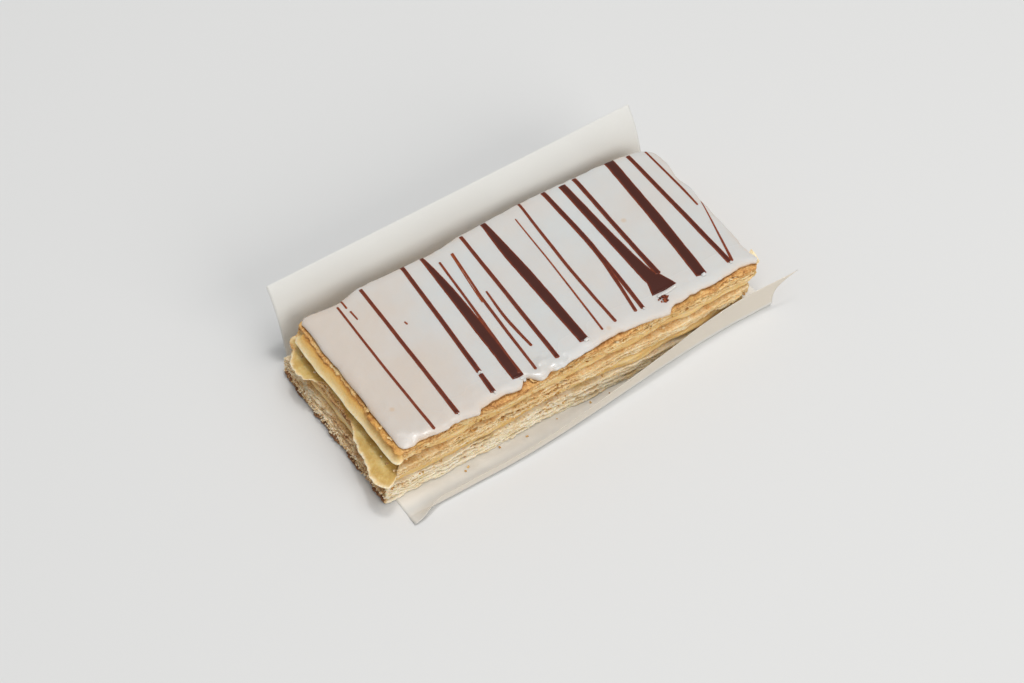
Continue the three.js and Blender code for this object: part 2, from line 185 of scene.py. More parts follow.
def grow(piece, tree, **values):
    """Runs a geometry tree on a piece, with values for its named inputs, and keeps the plain mesh."""
    modifier = piece.modifiers.new("grow", "NODES")
    modifier.node_group = tree
    for item in tree.interface.items_tree:
        if item.in_out == "INPUT" and item.name in values:
            modifier[item.identifier] = values[item.name]
    bpy.context.view_layer.update()
    depsgraph = bpy.context.evaluated_depsgraph_get()
    result = piece.evaluated_get(depsgraph)
    mesh = bpy.data.meshes.new_from_object(result, preserve_all_data_layers=True, depsgraph=depsgraph)
    piece.modifiers.clear()
    blank = piece.data
    piece.data = mesh
    bpy.data.meshes.remove(blank)
    mesh.name = piece.name
    mesh.materials.clear()
    mesh.materials.append(values["Material"])
    mesh.polygons.foreach_set("material_index", np.zeros(len(mesh.polygons), np.int32))


# ---- Uneven lines and surfaces -----------------------------------------------------------------


def smooth(x, low, high):
    """0 up to low, 1 from high on, and eased in between."""
    share = np.clip((x - low) / (high - low), 0, 1)
    return share * share * (3 - 2 * share)


def chance(whole, seed):
    """A share from 0 to 1 that a whole number and a seed settle, as good as random."""
    wild = np.sin(whole * 12.9898 + seed * 78.233) * 43758.5453
    return wild - np.floor(wild)


def uneven(place, seed):
    """A smooth uneven line from -1 to 1 with one bump or dip for each unit of place."""
    start = np.floor(place)
    ease = smooth(place, start, start + 1)
    return 2 * ((1 - ease) * chance(start, seed) + ease * chance(start + 1, seed)) - 1


def uneven_area(x, y, seed):
    """A smooth uneven surface from -1 to 1 with one bump or dip for each unit of x and of y."""
    column, row = np.floor(x), np.floor(y)
    across, along = smooth(x, column, column + 1), smooth(y, row, row + 1)
    corner = lambda i, j: chance((column + i) + 57 * (row + j), seed)
    near = corner(0, 0) * (1 - across) + corner(1, 0) * across
    far = corner(0, 1) * (1 - across) + corner(1, 1) * across
    return 2 * (near * (1 - along) + far * along) - 1


def eased(points, place):
    """The value of a list of (place, value) pairs, eased from point to point."""
    places, values = np.array(points, float).T
    after = np.clip(np.searchsorted(places, place, side="right"), 1, len(places) - 1)
    share = smooth(place, places[after - 1], places[after])
    return values[after - 1] + (values[after] - values[after - 1]) * share


def domed(x, z):
    """The height at x of what stands at height z at the ends of the slice."""
    return z * (1 + DOME * (1 - (x / HALF_LENGTH) ** 2))


# ---- Meshes ------------------------------------------------------------------------------------


def mesh_object(name, points, faces=(), edges=(), smooth_shading=True):
    """A mesh object from points in millimetres and lists of faces or edges."""
    mesh = bpy.data.meshes.new(name)
    mesh.from_pydata((np.asarray(points, float) * MM).tolist(), edges, faces)
    mesh.update()
    if smooth_shading:
        mesh.shade_smooth()
    piece = bpy.data.objects.new(name, mesh)
    bpy.context.scene.collection.objects.link(piece)
    return piece


def keep(piece, name, values, kind="FLOAT"):
    """Keeps a value or a vector for each point of a piece, as an attribute of its mesh."""
    field = {"FLOAT": "value", "FLOAT_VECTOR": "vector"}[kind]
    attribute = piece.data.attributes.new(name, kind, "POINT")
    attribute.data.foreach_set(field, np.asarray(values, np.float32).ravel())


# ---- Materials ---------------------------------------------------------------------------------


def new_material(name):
    """An empty material, and the function that adds a node to it."""
    material = bpy.data.materials.new(name)
    material.use_nodes = True
    material.node_tree.nodes.clear()
    return material, partial(add, material.node_tree)


def baked_puff_pastry(name, colours):
    """Baked laminated dough: dry matt leaves, pale where they lay inside and browned where they
    met the oven's heat, golden where butter soaked a leaf that stands out at the end, with a film of
    custard where they were pulled apart, painted darker as painted shade. The browning handed over by
    the leaf tree also holds painted shade and painted light. colours go from the palest leaf to the
    darkest crumb."""
    material, put = new_material(name)
    place = put("ShaderNodeTexCoord").node.outputs["Object"]
    # Streaks along the cut, as the leaves lie.
    streaks = put("stretch", place, (0.48 * PER_MM, 0.48 * PER_MM, 1.6 * PER_MM))
    streaks = put("noise", streaks, 1.0, 3.0, 0.65)
    # Toasted patches, and crumb drawn as coarse as it needs to show.
    patches = put("noise", place, 0.23 * PER_MM, 4.0, 0.6)
    crumb = put("noise", place, 1.5 * PER_MM, 2.0, 0.7)
    bake = put("attribute", attribute_name="bake")
    soaked = put("attribute", attribute_name="soaked")
    change = put("MULTIPLY", put("SUBTRACT", streaks, 0.5), 0.5)
    change = put("MULTIPLY_ADD", put("SUBTRACT", patches, 0.5), 0.9, change)
    change = put("MULTIPLY_ADD", put("SUBTRACT", crumb, 0.5), 0.95, change)
    share = put("MULTIPLY_ADD", change, put("MULTIPLY_ADD", soaked, -0.7, 1.0), bake)
    colour = put("colours", share, ramp=colours)
    butter = put("colours", share, ramp=BUTTERED_COLOURS)
    colour = put("blend colours", soaked, colour, butter)
    coat = put("attribute", attribute_name="coat")
    # The custard film is painted darker and more olive than the custard itself: painted shade.
    custard_film_in_shade = put("colours", patches, ramp=[(0.3, "#B8934A"), (0.5, "#C8A85E"), (0.7, "#D8C388")])
    colour = put("blend colours", coat, colour, custard_film_in_shade)
    rough = put("SUBTRACT", put("MULTIPLY_ADD", crumb, 0.3, 0.5), put("MULTIPLY", coat, 0.25))
    relief = put("MULTIPLY_ADD", streaks, 0.7, crumb)
    shader = put("ShaderNodeBsdfPrincipled", Base_Color=colour, Roughness=rough, IOR=1.45,
                 Normal=put("bump", relief, 0.6, 0.28 * MM), Subsurface_Weight=0.15,
                 Subsurface_Radius=(1.0, 0.6, 0.3), Subsurface_Scale=1.2 * MM)
    put("ShaderNodeOutputMaterial", shader)
    return material


def set_custard(name):
    """Cooked vanilla custard, set firm: smooth, faintly translucent, with a soft sheen where cut."""
    material, put = new_material(name)
    place = put("ShaderNodeTexCoord").node.outputs["Object"]
    # The knife drags custard along the cut in long, low smears.
    smears = put("stretch", place, (0.16 * PER_MM, 0.16 * PER_MM, 0.9 * PER_MM))
    smears = put("noise", smears, 1.0, 3.0)
    colour = put("colours", smears, ramp=CUSTARD_COLOURS)
    rough = put("range", smears, 0.0, 1.0, 0.32, 0.6)
    relief = put("MULTIPLY_ADD", put("noise", place, 1.4 * PER_MM, 2.0), 0.35, smears)
    shader = put("ShaderNodeBsdfPrincipled", Base_Color=colour, Roughness=rough, IOR=1.4,
                 Normal=put("bump", relief, 0.5, 0.3 * MM), Subsurface_Weight=0.35,
                 Subsurface_Radius=(1.0, 0.7, 0.25), Subsurface_Scale=1.8 * MM)
    put("ShaderNodeOutputMaterial", shader)
    return material


def poured_fondant(name):
    """Sugar fondant poured warm and set: glossy, dense white, a little see-through at thin edges,
    where the browned pastry below tints it."""
    material, put = new_material(name)
    place = put("ShaderNodeTexCoord").node.outputs["Object"]
    clouds = put("noise", place, 0.045 * PER_MM, 3.0)
    # It lies thinner and warmer towards the left end.
    warmth = put("ADD", put("ease", put("x", place), -20 * MM, -50 * MM, 0.0, 0.35), clouds)
    body = put("colours", warmth, ramp=[(0.35, "#C9CAC8"), (0.6, "#CBC7C2"), (0.9, "#CCC1B6")])
    # Here and there, about 16 mm apart, a yellow spot 1 mm across shows through.
    specks = put("ShaderNodeTexVoronoi", Vector=place, Scale=0.062 * PER_MM, Randomness=1.0)
    specks = put("range", specks, 0.07, 0.03, 0.0, 0.3)
    thin = put("MAXIMUM", put("attribute", attribute_name="thin"), specks)
    colour = put("blend colours", thin, body, linear("#C79A5B"))
    # Slow waves left by pouring, and sugar grain drawn far coarser than it is so that it shows.
    sugar = put("noise", place, 1.5 * PER_MM, 2.0)
    relief = put("MULTIPLY_ADD", sugar, 0.06, put("noise", place, 0.12 * PER_MM, 1.0))
    # The rim dried first and is dull, but for a few places where it stayed wet.
    dull = put("attribute", attribute_name="dull")
    rough = put("MULTIPLY_ADD", dull, 0.32, put("range", clouds, 0.0, 1.0, 0.12, 0.26))
    shader = put("ShaderNodeBsdfPrincipled", Base_Color=colour, Roughness=rough, IOR=1.48,
                 Normal=put("bump", relief, 0.35, 0.6 * MM), Subsurface_Weight=0.3,
                 Subsurface_Radius=(1.0, 0.8, 0.65), Subsurface_Scale=1.5 * MM)
    put("ShaderNodeOutputMaterial", shader)
    return material


def piped_chocolate(name):
    """Dark chocolate piped in lines and set: near black-brown where thick, red-brown where thin."""
    material, put = new_material(name)
    place = put("ShaderNodeTexCoord").node.outputs["Object"]
    mottle = put("noise", place, 0.7 * PER_MM, 3.0)
    share = put("MULTIPLY_ADD", mottle, 0.3, put("attribute", attribute_name="thickness"))
    colour = put("colours", share,
                 ramp=[(0.12, "#AE5C32"), (0.38, "#75341D"), (0.64, "#502015"), (1.0, "#451E15")])
    # The end of a line sets as a smooth bead.
    rough = put("range", put("attribute", attribute_name="bead"), 0.0, 1.0, 0.42, 0.14)
    shader = put("ShaderNodeBsdfPrincipled", Base_Color=colour, Roughness=rough, IOR=1.46,
                 Normal=put("bump", mottle, 0.3, 0.1 * MM), Specular_IOR_Level=0.25)
    put("ShaderNodeOutputMaterial", shader)
    return material


def greaseproof(name):
    """Bleached greaseproof paper: thin, smooth, translucent enough for what lies behind to tint it,
    and painted light: cream and lighter next to the slice in front, where it lies in shade, and
    lighter low on the back flap than at its top."""
    material, put = new_material(name)
    place = put("ShaderNodeTexCoord").node.outputs["Object"]
    plain = put("colours", put("noise", place, 0.09 * PER_MM, 2.0),
                ramp=[(0.35, "#E0E0DA"), (0.7, "#E4E4E0")])
    # Painted light: cream and lighter where the paper lies in shade.
    painted_light_ramp = put("colours", put("attribute", attribute_name="soak"),
                   ramp=[(0.0, "#DDD3C4"), (0.5, "#DEDDD8"), (1.0, "#FFFAF0")])
    fibres = put("noise", place, 0.9 * PER_MM, 4.0, 0.7)
    shader = put("ShaderNodeBsdfPrincipled", Base_Color=put("blend colours", 0.9, plain, painted_light_ramp),
                 Roughness=0.48, IOR=1.15, Normal=put("bump", fibres, 0.12, 0.1 * MM),
                 Transmission_Weight=0.12, Subsurface_Weight=0.15, Subsurface_Radius=(1.0, 1.0, 0.95),
                 Subsurface_Scale=0.6 * MM)
    put("ShaderNodeOutputMaterial", shader)
    return material


# Ramps from the palest place to the brownest: points (share, colour).
PASTRY_COLOURS = {
    "pastry_top": [
        (0.0, "#F3E2BA"), (0.3, "#E8C890"), (0.55, "#DAAB69"), (0.8, "#BC8446"), (1.0, "#885A2D"),
    ],
    "pastry_middle": [
        (0.0, "#F4E7CA"), (0.35, "#EACD9B"), (0.6, "#DEB377"), (0.82, "#BF8B51"), (1.0, "#8B5E35"),
    ],
    "pastry_bottom": [
        (0.0, "#F8F0DE"), (0.4, "#F1E1C2"), (0.65, "#E3C596"), (0.85, "#C09564"), (1.0, "#845C3C"),
    ],
}
BUTTERED_COLOURS = [
    (0.05, "#FAEDCC"), (0.25, "#F3DAA6"), (0.5, "#EECA85"), (0.75, "#E8B45E"), (0.98, "#BC7E38"),
]
CUSTARD_COLOURS = [(0.25, "#D2A45C"), (0.5, "#DFBC7C"), (0.75, "#E6CFA0")]

# ---- Outlines ----------------------------------------------------------------------------------


def outline(lines, long_steps, end_steps, corner):
    """An outline seen from above, anticlockwise from its front left corner, and which way each
    point faces. lines gives y of the front and back for x, and x of the left and right for y."""

    def meet(side, edge):
        """Where two edge lines cross, found by stepping from one to the other."""
        x = y = 0.0
        for _ in range(20):
            x, y = float(side(np.array([y]))[0]), float(edge(np.array([x]))[0])
        return x, y

    def run(line, start, stop, steps):
        """Places along one edge, where it lies there, and how far its round ends cut it back."""
        place = np.linspace(start, stop, steps + 1)
        near = np.minimum(place - start, stop - place)
        turn = np.radians(45) * np.clip(1 - near / corner, 0, 1)
        shift = np.where(near < corner, corner * (1 - np.sin(turn)) - near, 0)
        place_out = place + np.where(place < (start + stop) / 2, shift, -shift)
        return place_out, line(place), corner * (1 - np.cos(turn))

    front_left, front_right = meet(lines["left"], lines["front"]), meet(lines["right"], lines["front"])
    back_left, back_right = meet(lines["left"], lines["back"]), meet(lines["right"], lines["back"])
    x, y, cut = run(lines["front"], front_left[0], front_right[0], long_steps)
    front = np.stack([x, y + cut], 1)
    x, y, cut = run(lines["back"], back_left[0], back_right[0], long_steps)
    back = np.stack([x, y - cut], 1)
    y, x, cut = run(lines["left"], front_left[1], back_left[1], end_steps)
    left = np.stack([x + cut, y], 1)
    y, x, cut = run(lines["right"], front_right[1], back_right[1], end_steps)
    right = np.stack([x - cut, y], 1)
    ring = np.concatenate([front[:-1], right[:-1], back[:0:-1], left[:0:-1]])
    tangent = np.roll(ring, -1, 0) - np.roll(ring, 1, 0)
    outward = np.stack([tangent[:, 1], -tangent[:, 0]], 1)
    for _ in range(6):
        outward = (np.roll(outward, 1, 0) + outward * 2 + np.roll(outward, -1, 0)) / 4
    outward /= np.linalg.norm(outward, axis=1)[:, None]
    return ring, outward


def moved_in(lines, inset):
    """The same edge lines, further in."""
    return {
        "left": lambda y: lines["left"](y) + inset,
        "right": lambda y: lines["right"](y) - inset,
        "front": lambda x: lines["front"](x) + inset,
        "back": lambda x: lines["back"](x) - inset,
    }


def wall_faces(levels, count):
    """Faces between stacked rings of count points each, from the lowest ring up."""
    faces = []
    for level in range(levels - 1):
        for step in range(count):
            a, b = level * count + step, level * count + (step + 1) % count
            faces.append((a, b, b + count, a + count))
    return faces


def cap_faces(start, long_steps, end_steps, upwards):
    """Faces that close the ring that begins at point start: strips and a polygon at each end."""
    total = 2 * (long_steps + end_steps)
    back = lambda step: total - end_steps - step
    faces = [(step, step + 1, back(step + 1), back(step)) for step in range(1, long_steps - 1)]
    faces.append(tuple(range(long_steps - 1, back(long_steps - 1) + 1)))
    faces.append(tuple([*range(back(1), total), 0, 1]))
    return [tuple(start + p for p in (face if upwards else face[::-1])) for face in faces]


def net_faces(index):
    """Faces of a net of points: index holds the point's number at each row and column."""
    a, b, c, d = index[:-1, :-1], index[1:, :-1], index[1:, 1:], index[:-1, 1:]
    return np.stack([a, b, c, d], -1).reshape(-1, 4)


def layer_lines(layer):
    """The edge lines of a layer, straying as the CAD's do."""
    seed = layer["seed"]
    most_back = layer.get("follow", BEYOND)

    def stray(place, side):
        return 0.5 * (0.6 * uneven(place / 9, seed + side) + 0.4 * uneven(place / 4, seed + side + 40))

    return {
        "left": lambda y: layer["left"] + stray(y, 1),
        "right": lambda y: layer["right"] + stray(y, 2),
        "front": lambda x: layer["front"] + stray(x, 3),
        "back": lambda x: np.minimum(layer["back"] + stray(x, 4), eased(most_back, x) + 0.3),
    }


# ---- Puff pastry -------------------------------------------------------------------------------

LEAF_LONG_STEPS = 340
LEAF_END_STEPS = 150
LEAF_INSETS = [9.0, 4.5, 2.6, 1.7, 1.0, 0.5, 0.1]  # rings of a leaf, in from its edge

# How far one leaf of each sheet stands out at the left end, from front to back: points (y, reach).
TONGUES = {
    "pastry_top": [
        (-31, 1.8), (-28, 2.4), (-17, 2.4), (-5, 2.7), (8, 2.9), (25.5, 2.8), (28, 0.6), (31, 0.0),
    ],
    "pastry_middle": [
        (-31, 5.4), (-27.6, 6.3), (-26, 6.1), (-22.3, 4.4), (-18, 4.2), (-13, 2.9), (-10.4, 1.8),
        (-5.7, 0.7), (0, 0.0), (10.3, 0.0), (13, 2.4), (15.4, 4.4), (20.6, 4.6), (22.8, 4.0),
        (24.6, 2.6), (26.8, 0.6), (29, 0.0),
    ],
    "pastry_bottom": [(-31, 0.0), (31, 0.0)],
}
# How far the front bulges out: points (x, reach).
BULGES = {
    "pastry_top": [
        (-37, 0.0), (-33, 1.4), (-27, 2.0), (-21, 1.7), (-18, 0.9), (-13, 0.7), (-10, 0.0), (40, 0.0),
        (46, 0.5), (60, 0.0),
    ],
    "pastry_middle": [
        (-60, 0.0), (-50, 0.4), (-40, 0.0), (-10, 0.0), (4, 0.7), (14, 0.5), (26, 1.2), (44, 1.1),
        (55, 0.5), (61, 0.0),
    ],
    "pastry_bottom": [
        (-64, 0.0), (-50, 0.5), (-20, 0.2), (4, 0.4), (20, 1.8), (34, 1.6), (48, 0.9), (58, 0.2),
    ],
    "custard_lower": [(0, 0.0), (18, 1.3), (38, 1.2), (52, 0.5), (58, 0.0)],
    "custard_upper": [(0, 0.0), (18, 0.2), (52, 0.2), (58, 0.0)],
}


def front_bulge(name, ring, outward):
    """How far each point of a layer's outline bulges out, for those that face the front."""
    return smooth(-outward[:, 1], 0.5, 0.9) * eased(BULGES[name], ring[:, 0])


def leaf_blank(name):
    """One flat pastry leaf as a closed plate without thickness yet. Each point knows how far it is
    from the edge, which way the edge faces, whether it is below or above, and how far the tongue and
    the bulge pull it out."""
    lines = layer_lines(LAYERS[name])
    ring, outward = outline(lines, LEAF_LONG_STEPS, LEAF_END_STEPS, CORNER)
    count = len(ring)
    insets = LEAF_INSETS + [0.0] + LEAF_INSETS[::-1]
    levels = len(insets)
    at_left = smooth(-outward[:, 0], 0.3, 0.8)
    points = []
    for inset in insets:
        inner, _ = outline(moved_in(lines, inset), LEAF_LONG_STEPS, LEAF_END_STEPS, max(CORNER - inset, 0.4))
        points.append(np.c_[inner, np.zeros(count)])
    faces = wall_faces(levels, count)
    faces += cap_faces(0, LEAF_LONG_STEPS, LEAF_END_STEPS, False)
    faces += cap_faces((levels - 1) * count, LEAF_LONG_STEPS, LEAF_END_STEPS, True)
    blank = mesh_object(name + "_leaves", np.concatenate(points), faces)
    keep(blank, "inset", np.repeat(insets, count))
    keep(blank, "side", np.repeat(np.sign(np.arange(levels) - levels // 2), count))
    keep(blank, "outward", np.tile(np.c_[outward, np.zeros(count)], (levels, 1)), "FLOAT_VECTOR")
    keep(blank, "tongue", np.tile(at_left * eased(TONGUES[name], ring[:, 1]), levels))
    keep(blank, "bulge", np.tile(front_bulge(name, ring, outward), levels))
    keep(blank, "at_left", np.tile(at_left, levels))
    return blank


def leaf_tree():
    """Stacks copies of a leaf and ruffles them: each strays in and out, waves up and down near its
    edge, differs in thickness, and is browned unevenly, with painted shade and painted light in that
    browning. Tongues stretch one leaf out at the end."""
    tree, put, given = new_tree("stack_of_pastry_leaves", {
        "Leaves": 6, "Low": 0.0, "High": 0.004, "Thickness": 0.0004, "Ragged": 0.0009, "Wave": 0.0004,
        "Tongue height": 0.5, "Tongue falloff": 9.0, "Tongue thickness": 0.0005, "Tongue smoothness": 0.5,
        "Wedge": 0.0, "Slope": 0.0, "Coat": 0.0, "Toast": 0.0, "Crust": 0.0, "Crust height": 1.0,
        "Crust falloff": 8.0, "Browner right": 0.0, "Foot": 0.0, "Top reach": 0.0, "Seed": 1.0,
        "Material": "NodeSocketMaterial"})

    # The stack: one point for each leaf, and a copy of the blank on each.
    row = put("GeometryNodeMeshLine", Count=given["Leaves"], Offset=(0, 0, 0))
    row = put("GeometryNodeMeshToPoints", Mesh=put("store", row, "leaf", put("index")))
    stack = put("realize", put("GeometryNodeInstanceOnPoints", Points=row, Instance=given["Geometry"]))

    place = put("place")
    leaf, inset, side = put("field", "leaf"), put("field", "inset"), put("field", "side")
    tongue, bulge, at_left = put("field", "tongue"), put("field", "bulge"), put("field", "at_left")
    outward = put("field", "outward", data_type="FLOAT_VECTOR")
    height = put("DIVIDE", put("ADD", leaf, 0.5), given["Leaves"])

    def drift(scale, step, detail=1.0):
        """An uneven value from -1 to 1, with so many bumps to the metre. A small step from leaf to
        leaf makes neighbouring leaves alike."""
        shift = put("MULTIPLY_ADD", leaf, step, given["Seed"])
        spot = put("sum", put("scaled", place, scale), put("join", 0.0, 0.0, shift))
        return put("MULTIPLY_ADD", put("noise", spot, 1.0, detail), 3.2, -1.6)

    common_stray = drift(75, 0.25)
    slow_stray = drift(150, 3.1)
    quick_stray = drift(600, 7.7, 2.0)
    crumble = drift(1500, 9.1)
    slow_wave = drift(120, 0.35)
    quick_wave = drift(330, 1.1)
    swell = drift(200, 5.3)
    browning = drift(170, 4.7, 2.0)
    smear = drift(130, 0.3, 2.0)

    # Tongues: only the leaf at the tongue's height is stretched out, and it is smoother.
    apart = put("ABSOLUTE", put("SUBTRACT", height, given["Tongue height"]))
    near = put("MULTIPLY_ADD", put("MULTIPLY", apart, given["Tongue falloff"]), -1.0, 1.0)
    near = put("MAXIMUM", near, 0.0)
    pull = put("MULTIPLY", tongue, near)
    pulled = put("ease", pull, 0.3, 2.0)
    calm = put("MULTIPLY_ADD", put("MULTIPLY", pulled, given["Tongue smoothness"]), -1.0, 1.0)
    calm = put("MULTIPLY", calm, put("MULTIPLY_ADD", put("ease", bulge, 0.2, 1.2), -0.5, 1.0))

    # Out and in: the knife cut keeps an edge from standing out far, and lets it break back.
    stray = put("MULTIPLY_ADD", quick_stray, 0.4, slow_stray)
    stray = put("MULTIPLY_ADD", crumble, 0.3, put("MINIMUM", stray, 0.3))
    stray = put("MULTIPLY", stray, calm)
    stray = put("MULTIPLY_ADD", common_stray, 0.25, stray)
    fade = put("MAXIMUM", put("MULTIPLY_ADD", inset, -1 / LEAF_INSETS[0], 1.0), 0.0)
    out = put("MULTIPLY", put("MULTIPLY", stray, given["Ragged"]), put("POWER", fade, 3.0))
    out = put("ADD", out, put("MULTIPLY", put("MULTIPLY", pull, fade), MM))
    roll = put("MULTIPLY", bulge, put("MULTIPLY_ADD", height, 0.6 * MM, 0.4 * MM))
    out = put("ADD", out, put("MULTIPLY", roll, fade))

    # The lowest leaves spread at the front, and the uppermost stands out at the left end's front.
    at_front = put("MAXIMUM", put("MULTIPLY", put("y", outward), -1.0), 0.0)
    foot = put("MULTIPLY", at_front, put("POWER", put("SUBTRACT", 1.0, height), 2.0))
    out = put("MULTIPLY_ADD", put("MULTIPLY", foot, given["Foot"]), fade, out)
    across = put("y", place)
    near_front = put("ease", across, -7 * MM, -15 * MM)
    upper_lip = put("MULTIPLY", put("MULTIPLY", put("ease", height, 0.8, 0.89), at_left), near_front)
    upper_lip = put("MULTIPLY", upper_lip, put("MULTIPLY_ADD", common_stray, 0.3, 1.0))
    out = put("MULTIPLY_ADD", put("MULTIPLY", upper_lip, given["Top reach"]), fade, out)
    step_back = put("MULTIPLY", put("MULTIPLY", at_left, height), given["Slope"])
    out = put("SUBTRACT", out, put("MULTIPLY", step_back, fade))

    # Up and down: the leaf's thickness, its waves near the edge, and the droop of a tongue.
    thick = put("MULTIPLY", given["Thickness"], put("MULTIPLY_ADD", swell, 0.5, 0.65))
    thick = put("blend", pulled, thick, put("MULTIPLY", given["Tongue thickness"], 0.5))
    edge = put("MULTIPLY", put("POWER", fade, 4.0), calm)
    wave = put("MULTIPLY", put("MULTIPLY_ADD", quick_wave, 0.8, slow_wave), edge)
    rise = put("MULTIPLY_ADD", height, put("SUBTRACT", given["High"], given["Low"]), given["Low"])
    rise = put("ADD", put("MULTIPLY_ADD", side, thick, rise), put("MULTIPLY", wave, given["Wave"]))
    rise = put("SUBTRACT", rise, put("MULTIPLY", put("MULTIPLY", pull, fade), 0.15 * MM))
    wedge = put("MULTIPLY", pulled, put("ease", inset, 0.0, 2.4))
    wedge = put("MULTIPLY", wedge, put("MAXIMUM", side, 0.0))
    wedge = put("MULTIPLY", wedge, put("MULTIPLY_ADD", near_front, -0.13, 1.13))
    rise = put("MULTIPLY_ADD", wedge, given["Wedge"], rise)
    rise = put("MAXIMUM", rise, put("MULTIPLY_ADD", inset, 0.01 * MM, 0.18 * MM))
    along = put("DIVIDE", put("x", place), HALF_LENGTH * MM)
    rise = put("MULTIPLY", rise, put("MULTIPLY_ADD", put("MULTIPLY", along, along), -DOME, 1 + DOME))
    moved = put("sum", put("scaled", outward, out), put("join", 0.0, 0.0, rise))
    stack = put("set position", stack, moved)

    # How brown each leaf is: toasted at the left end, and darker there as painted shade too; paler low in
    # front as painted light; with a crust at one height, which also paints a shadow line under the icing.
    bake = put("MULTIPLY_ADD", browning, 0.2, 0.45)
    # Toasting and painted shade: the left end, its front half most, is darker, partly because it lies in
    # shade.
    toast_and_shade = put("MULTIPLY_ADD", slow_stray, 0.35, 0.5)
    toast_and_shade = put("MULTIPLY_ADD", put("ease", across, 14 * MM, -16 * MM), 0.5, toast_and_shade)
    bake = put("MULTIPLY_ADD", put("MULTIPLY", toast_and_shade, at_left), given["Toast"], bake)
    bake = put("MULTIPLY_ADD", stray, 0.1, bake)
    bake = put("MULTIPLY_ADD", along, given["Browner right"], bake)
    # Painted light: the lower leaves at the front are painted paler, against the shade at the slice's foot.
    painted_light_low_front = put("MULTIPLY", at_front, put("SUBTRACT", 1.0, height))
    bake = put("MULTIPLY_ADD", painted_light_low_front, -0.14, bake)
    # Browning and painted shade: on the top sheet this band paints the shadow line under the icing's edge;
    # on the bottom sheet it darkens the lowest leaf at the left end.
    from_crust_and_shade = put("ABSOLUTE", put("SUBTRACT", height, given["Crust height"]))
    crust_and_shade = put("SUBTRACT", 1.0, put("MULTIPLY", from_crust_and_shade, given["Crust falloff"]))
    elsewhere = put("ABSOLUTE", put("SUBTRACT", at_left, put("ease", height, 0.5, 0.7)))
    crust_and_shade = put("MULTIPLY", put("MAXIMUM", crust_and_shade, 0.0), put("MAXIMUM", elsewhere, 0.1))
    bake = put("MULTIPLY_ADD", crust_and_shade, given["Crust"], bake)
    # On the tongue, painted shade and highlight: browner further in, where the icing's edge shades it, and
    # pale at its outer edge as a painted highlight.
    shade_and_highlight_inward = put("MULTIPLY_ADD", inset, 0.45, 0.06)
    bake = put("blend", pulled, bake, put("MULTIPLY_ADD", browning, 0.08, shade_and_highlight_inward))

    # Custard clings to the leaf at the tongue's height, and the knife smeared it over the cut.
    clinging = put("ease", put("MULTIPLY_ADD", quick_stray, 0.3, inset), 0.1, 0.9)
    coat = put("MULTIPLY", put("MULTIPLY", at_left, near), clinging)
    smeared = put("MULTIPLY", put("SUBTRACT", 1.0, at_left), put("ease", smear, 0.15, 0.75))
    coat = put("MAXIMUM", put("MULTIPLY", coat, given["Coat"]), put("MULTIPLY", smeared, 0.55))
    soaked = put("MAXIMUM", pulled, put("MULTIPLY", upper_lip, 0.6))
    soaked = put("MULTIPLY", soaked, given["Tongue smoothness"])
    for name, value in {"bake": bake, "coat": coat, "soaked": soaked}.items():
        stack = put("store", stack, name, value)
    put("NodeGroupOutput", put("set material", put("realize", stack), given["Material"]))
    return tree


def pastry_sheet(name, tree, settings):
    layer = LAYERS[name]
    piece = leaf_blank(name)
    material = baked_puff_pastry("baked_puff_" + name, PASTRY_COLOURS[name])
    values = {"Low": layer["low"] * MM, "High": layer["high"] * MM, "Seed": float(layer["seed"]),
              "Material": material}
    grow(piece, tree, **(values | settings))
    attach(piece, "root")
    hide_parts(name)


# ---- Custard -----------------------------------------------------------------------------------

CUSTARD_LONG_STEPS = 220
CUSTARD_END_STEPS = 104
CUSTARD_ROWS = 10
CUSTARD_SPACING = 0.55  # about how far apart the points of its outline are


def custard_layer(name, material):
    """A custard layer: pressed out between the sheets, with a smeared, uneven cut face."""
    layer = LAYERS[name]
    seed = layer["seed"]
    ring, outward = outline(layer_lines(layer), CUSTARD_LONG_STEPS, CUSTARD_END_STEPS, CORNER)
    around = np.arange(len(ring)) * CUSTARD_SPACING
    pressed = 0.6 * uneven(around / 9, seed + 8) + front_bulge(name, ring, outward)
    levels = []
    for row in range(CUSTARD_ROWS):
        share = row / (CUSTARD_ROWS - 1)
        bulge = 1.0 - (2 * share - 1) ** 4
        smear = 0.45 * uneven_area(around / 6.5, np.full_like(around, share * 1.7), seed)
        fine = 0.15 * uneven_area(around / 1.6, np.full_like(around, share * 3.1), seed + 3)
        out = -1.3 + 1.4 * bulge + pressed + smear + fine
        lean = 0.3 * uneven(around / 7, seed + 5)
        height = layer["low"] - 0.25 + (layer["high"] - layer["low"] + 0.5) * share
        height = height + lean * math.sin(math.pi * share)
        spot = ring + outward * out[:, None]
        levels.append(np.c_[spot, domed(spot[:, 0], height)])
    faces = wall_faces(CUSTARD_ROWS, len(ring))
    faces += cap_faces(0, CUSTARD_LONG_STEPS, CUSTARD_END_STEPS, False)
    faces += cap_faces((CUSTARD_ROWS - 1) * len(ring), CUSTARD_LONG_STEPS, CUSTARD_END_STEPS, True)
    piece = mesh_object(name + "_filling", np.concatenate(levels), faces)
    piece.data.materials.append(material)
    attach(piece, "root")
    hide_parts(name)


# ---- Icing -------------------------------------------------------------------------------------

ICING_LONG_STEPS = 240
ICING_END_STEPS = 110
ICING_SPACING = 0.52  # about how far apart the points of its outline are
ICING_CORNER = 2.4
# The rounded edge: height as a share of the thickness, how far inside the outline, and how thin.
ICING_ROUND = [
    (0.0, 1.0, 0.9), (0.1, 0.35, 0.8), (0.22, 0.08, 0.65), (0.38, 0.0, 0.5), (0.56, 0.08, 0.35),
    (0.72, 0.35, 0.22), (0.85, 0.8, 0.12), (0.95, 1.6, 0.05), (1.0, 3.0, 0.0),
]
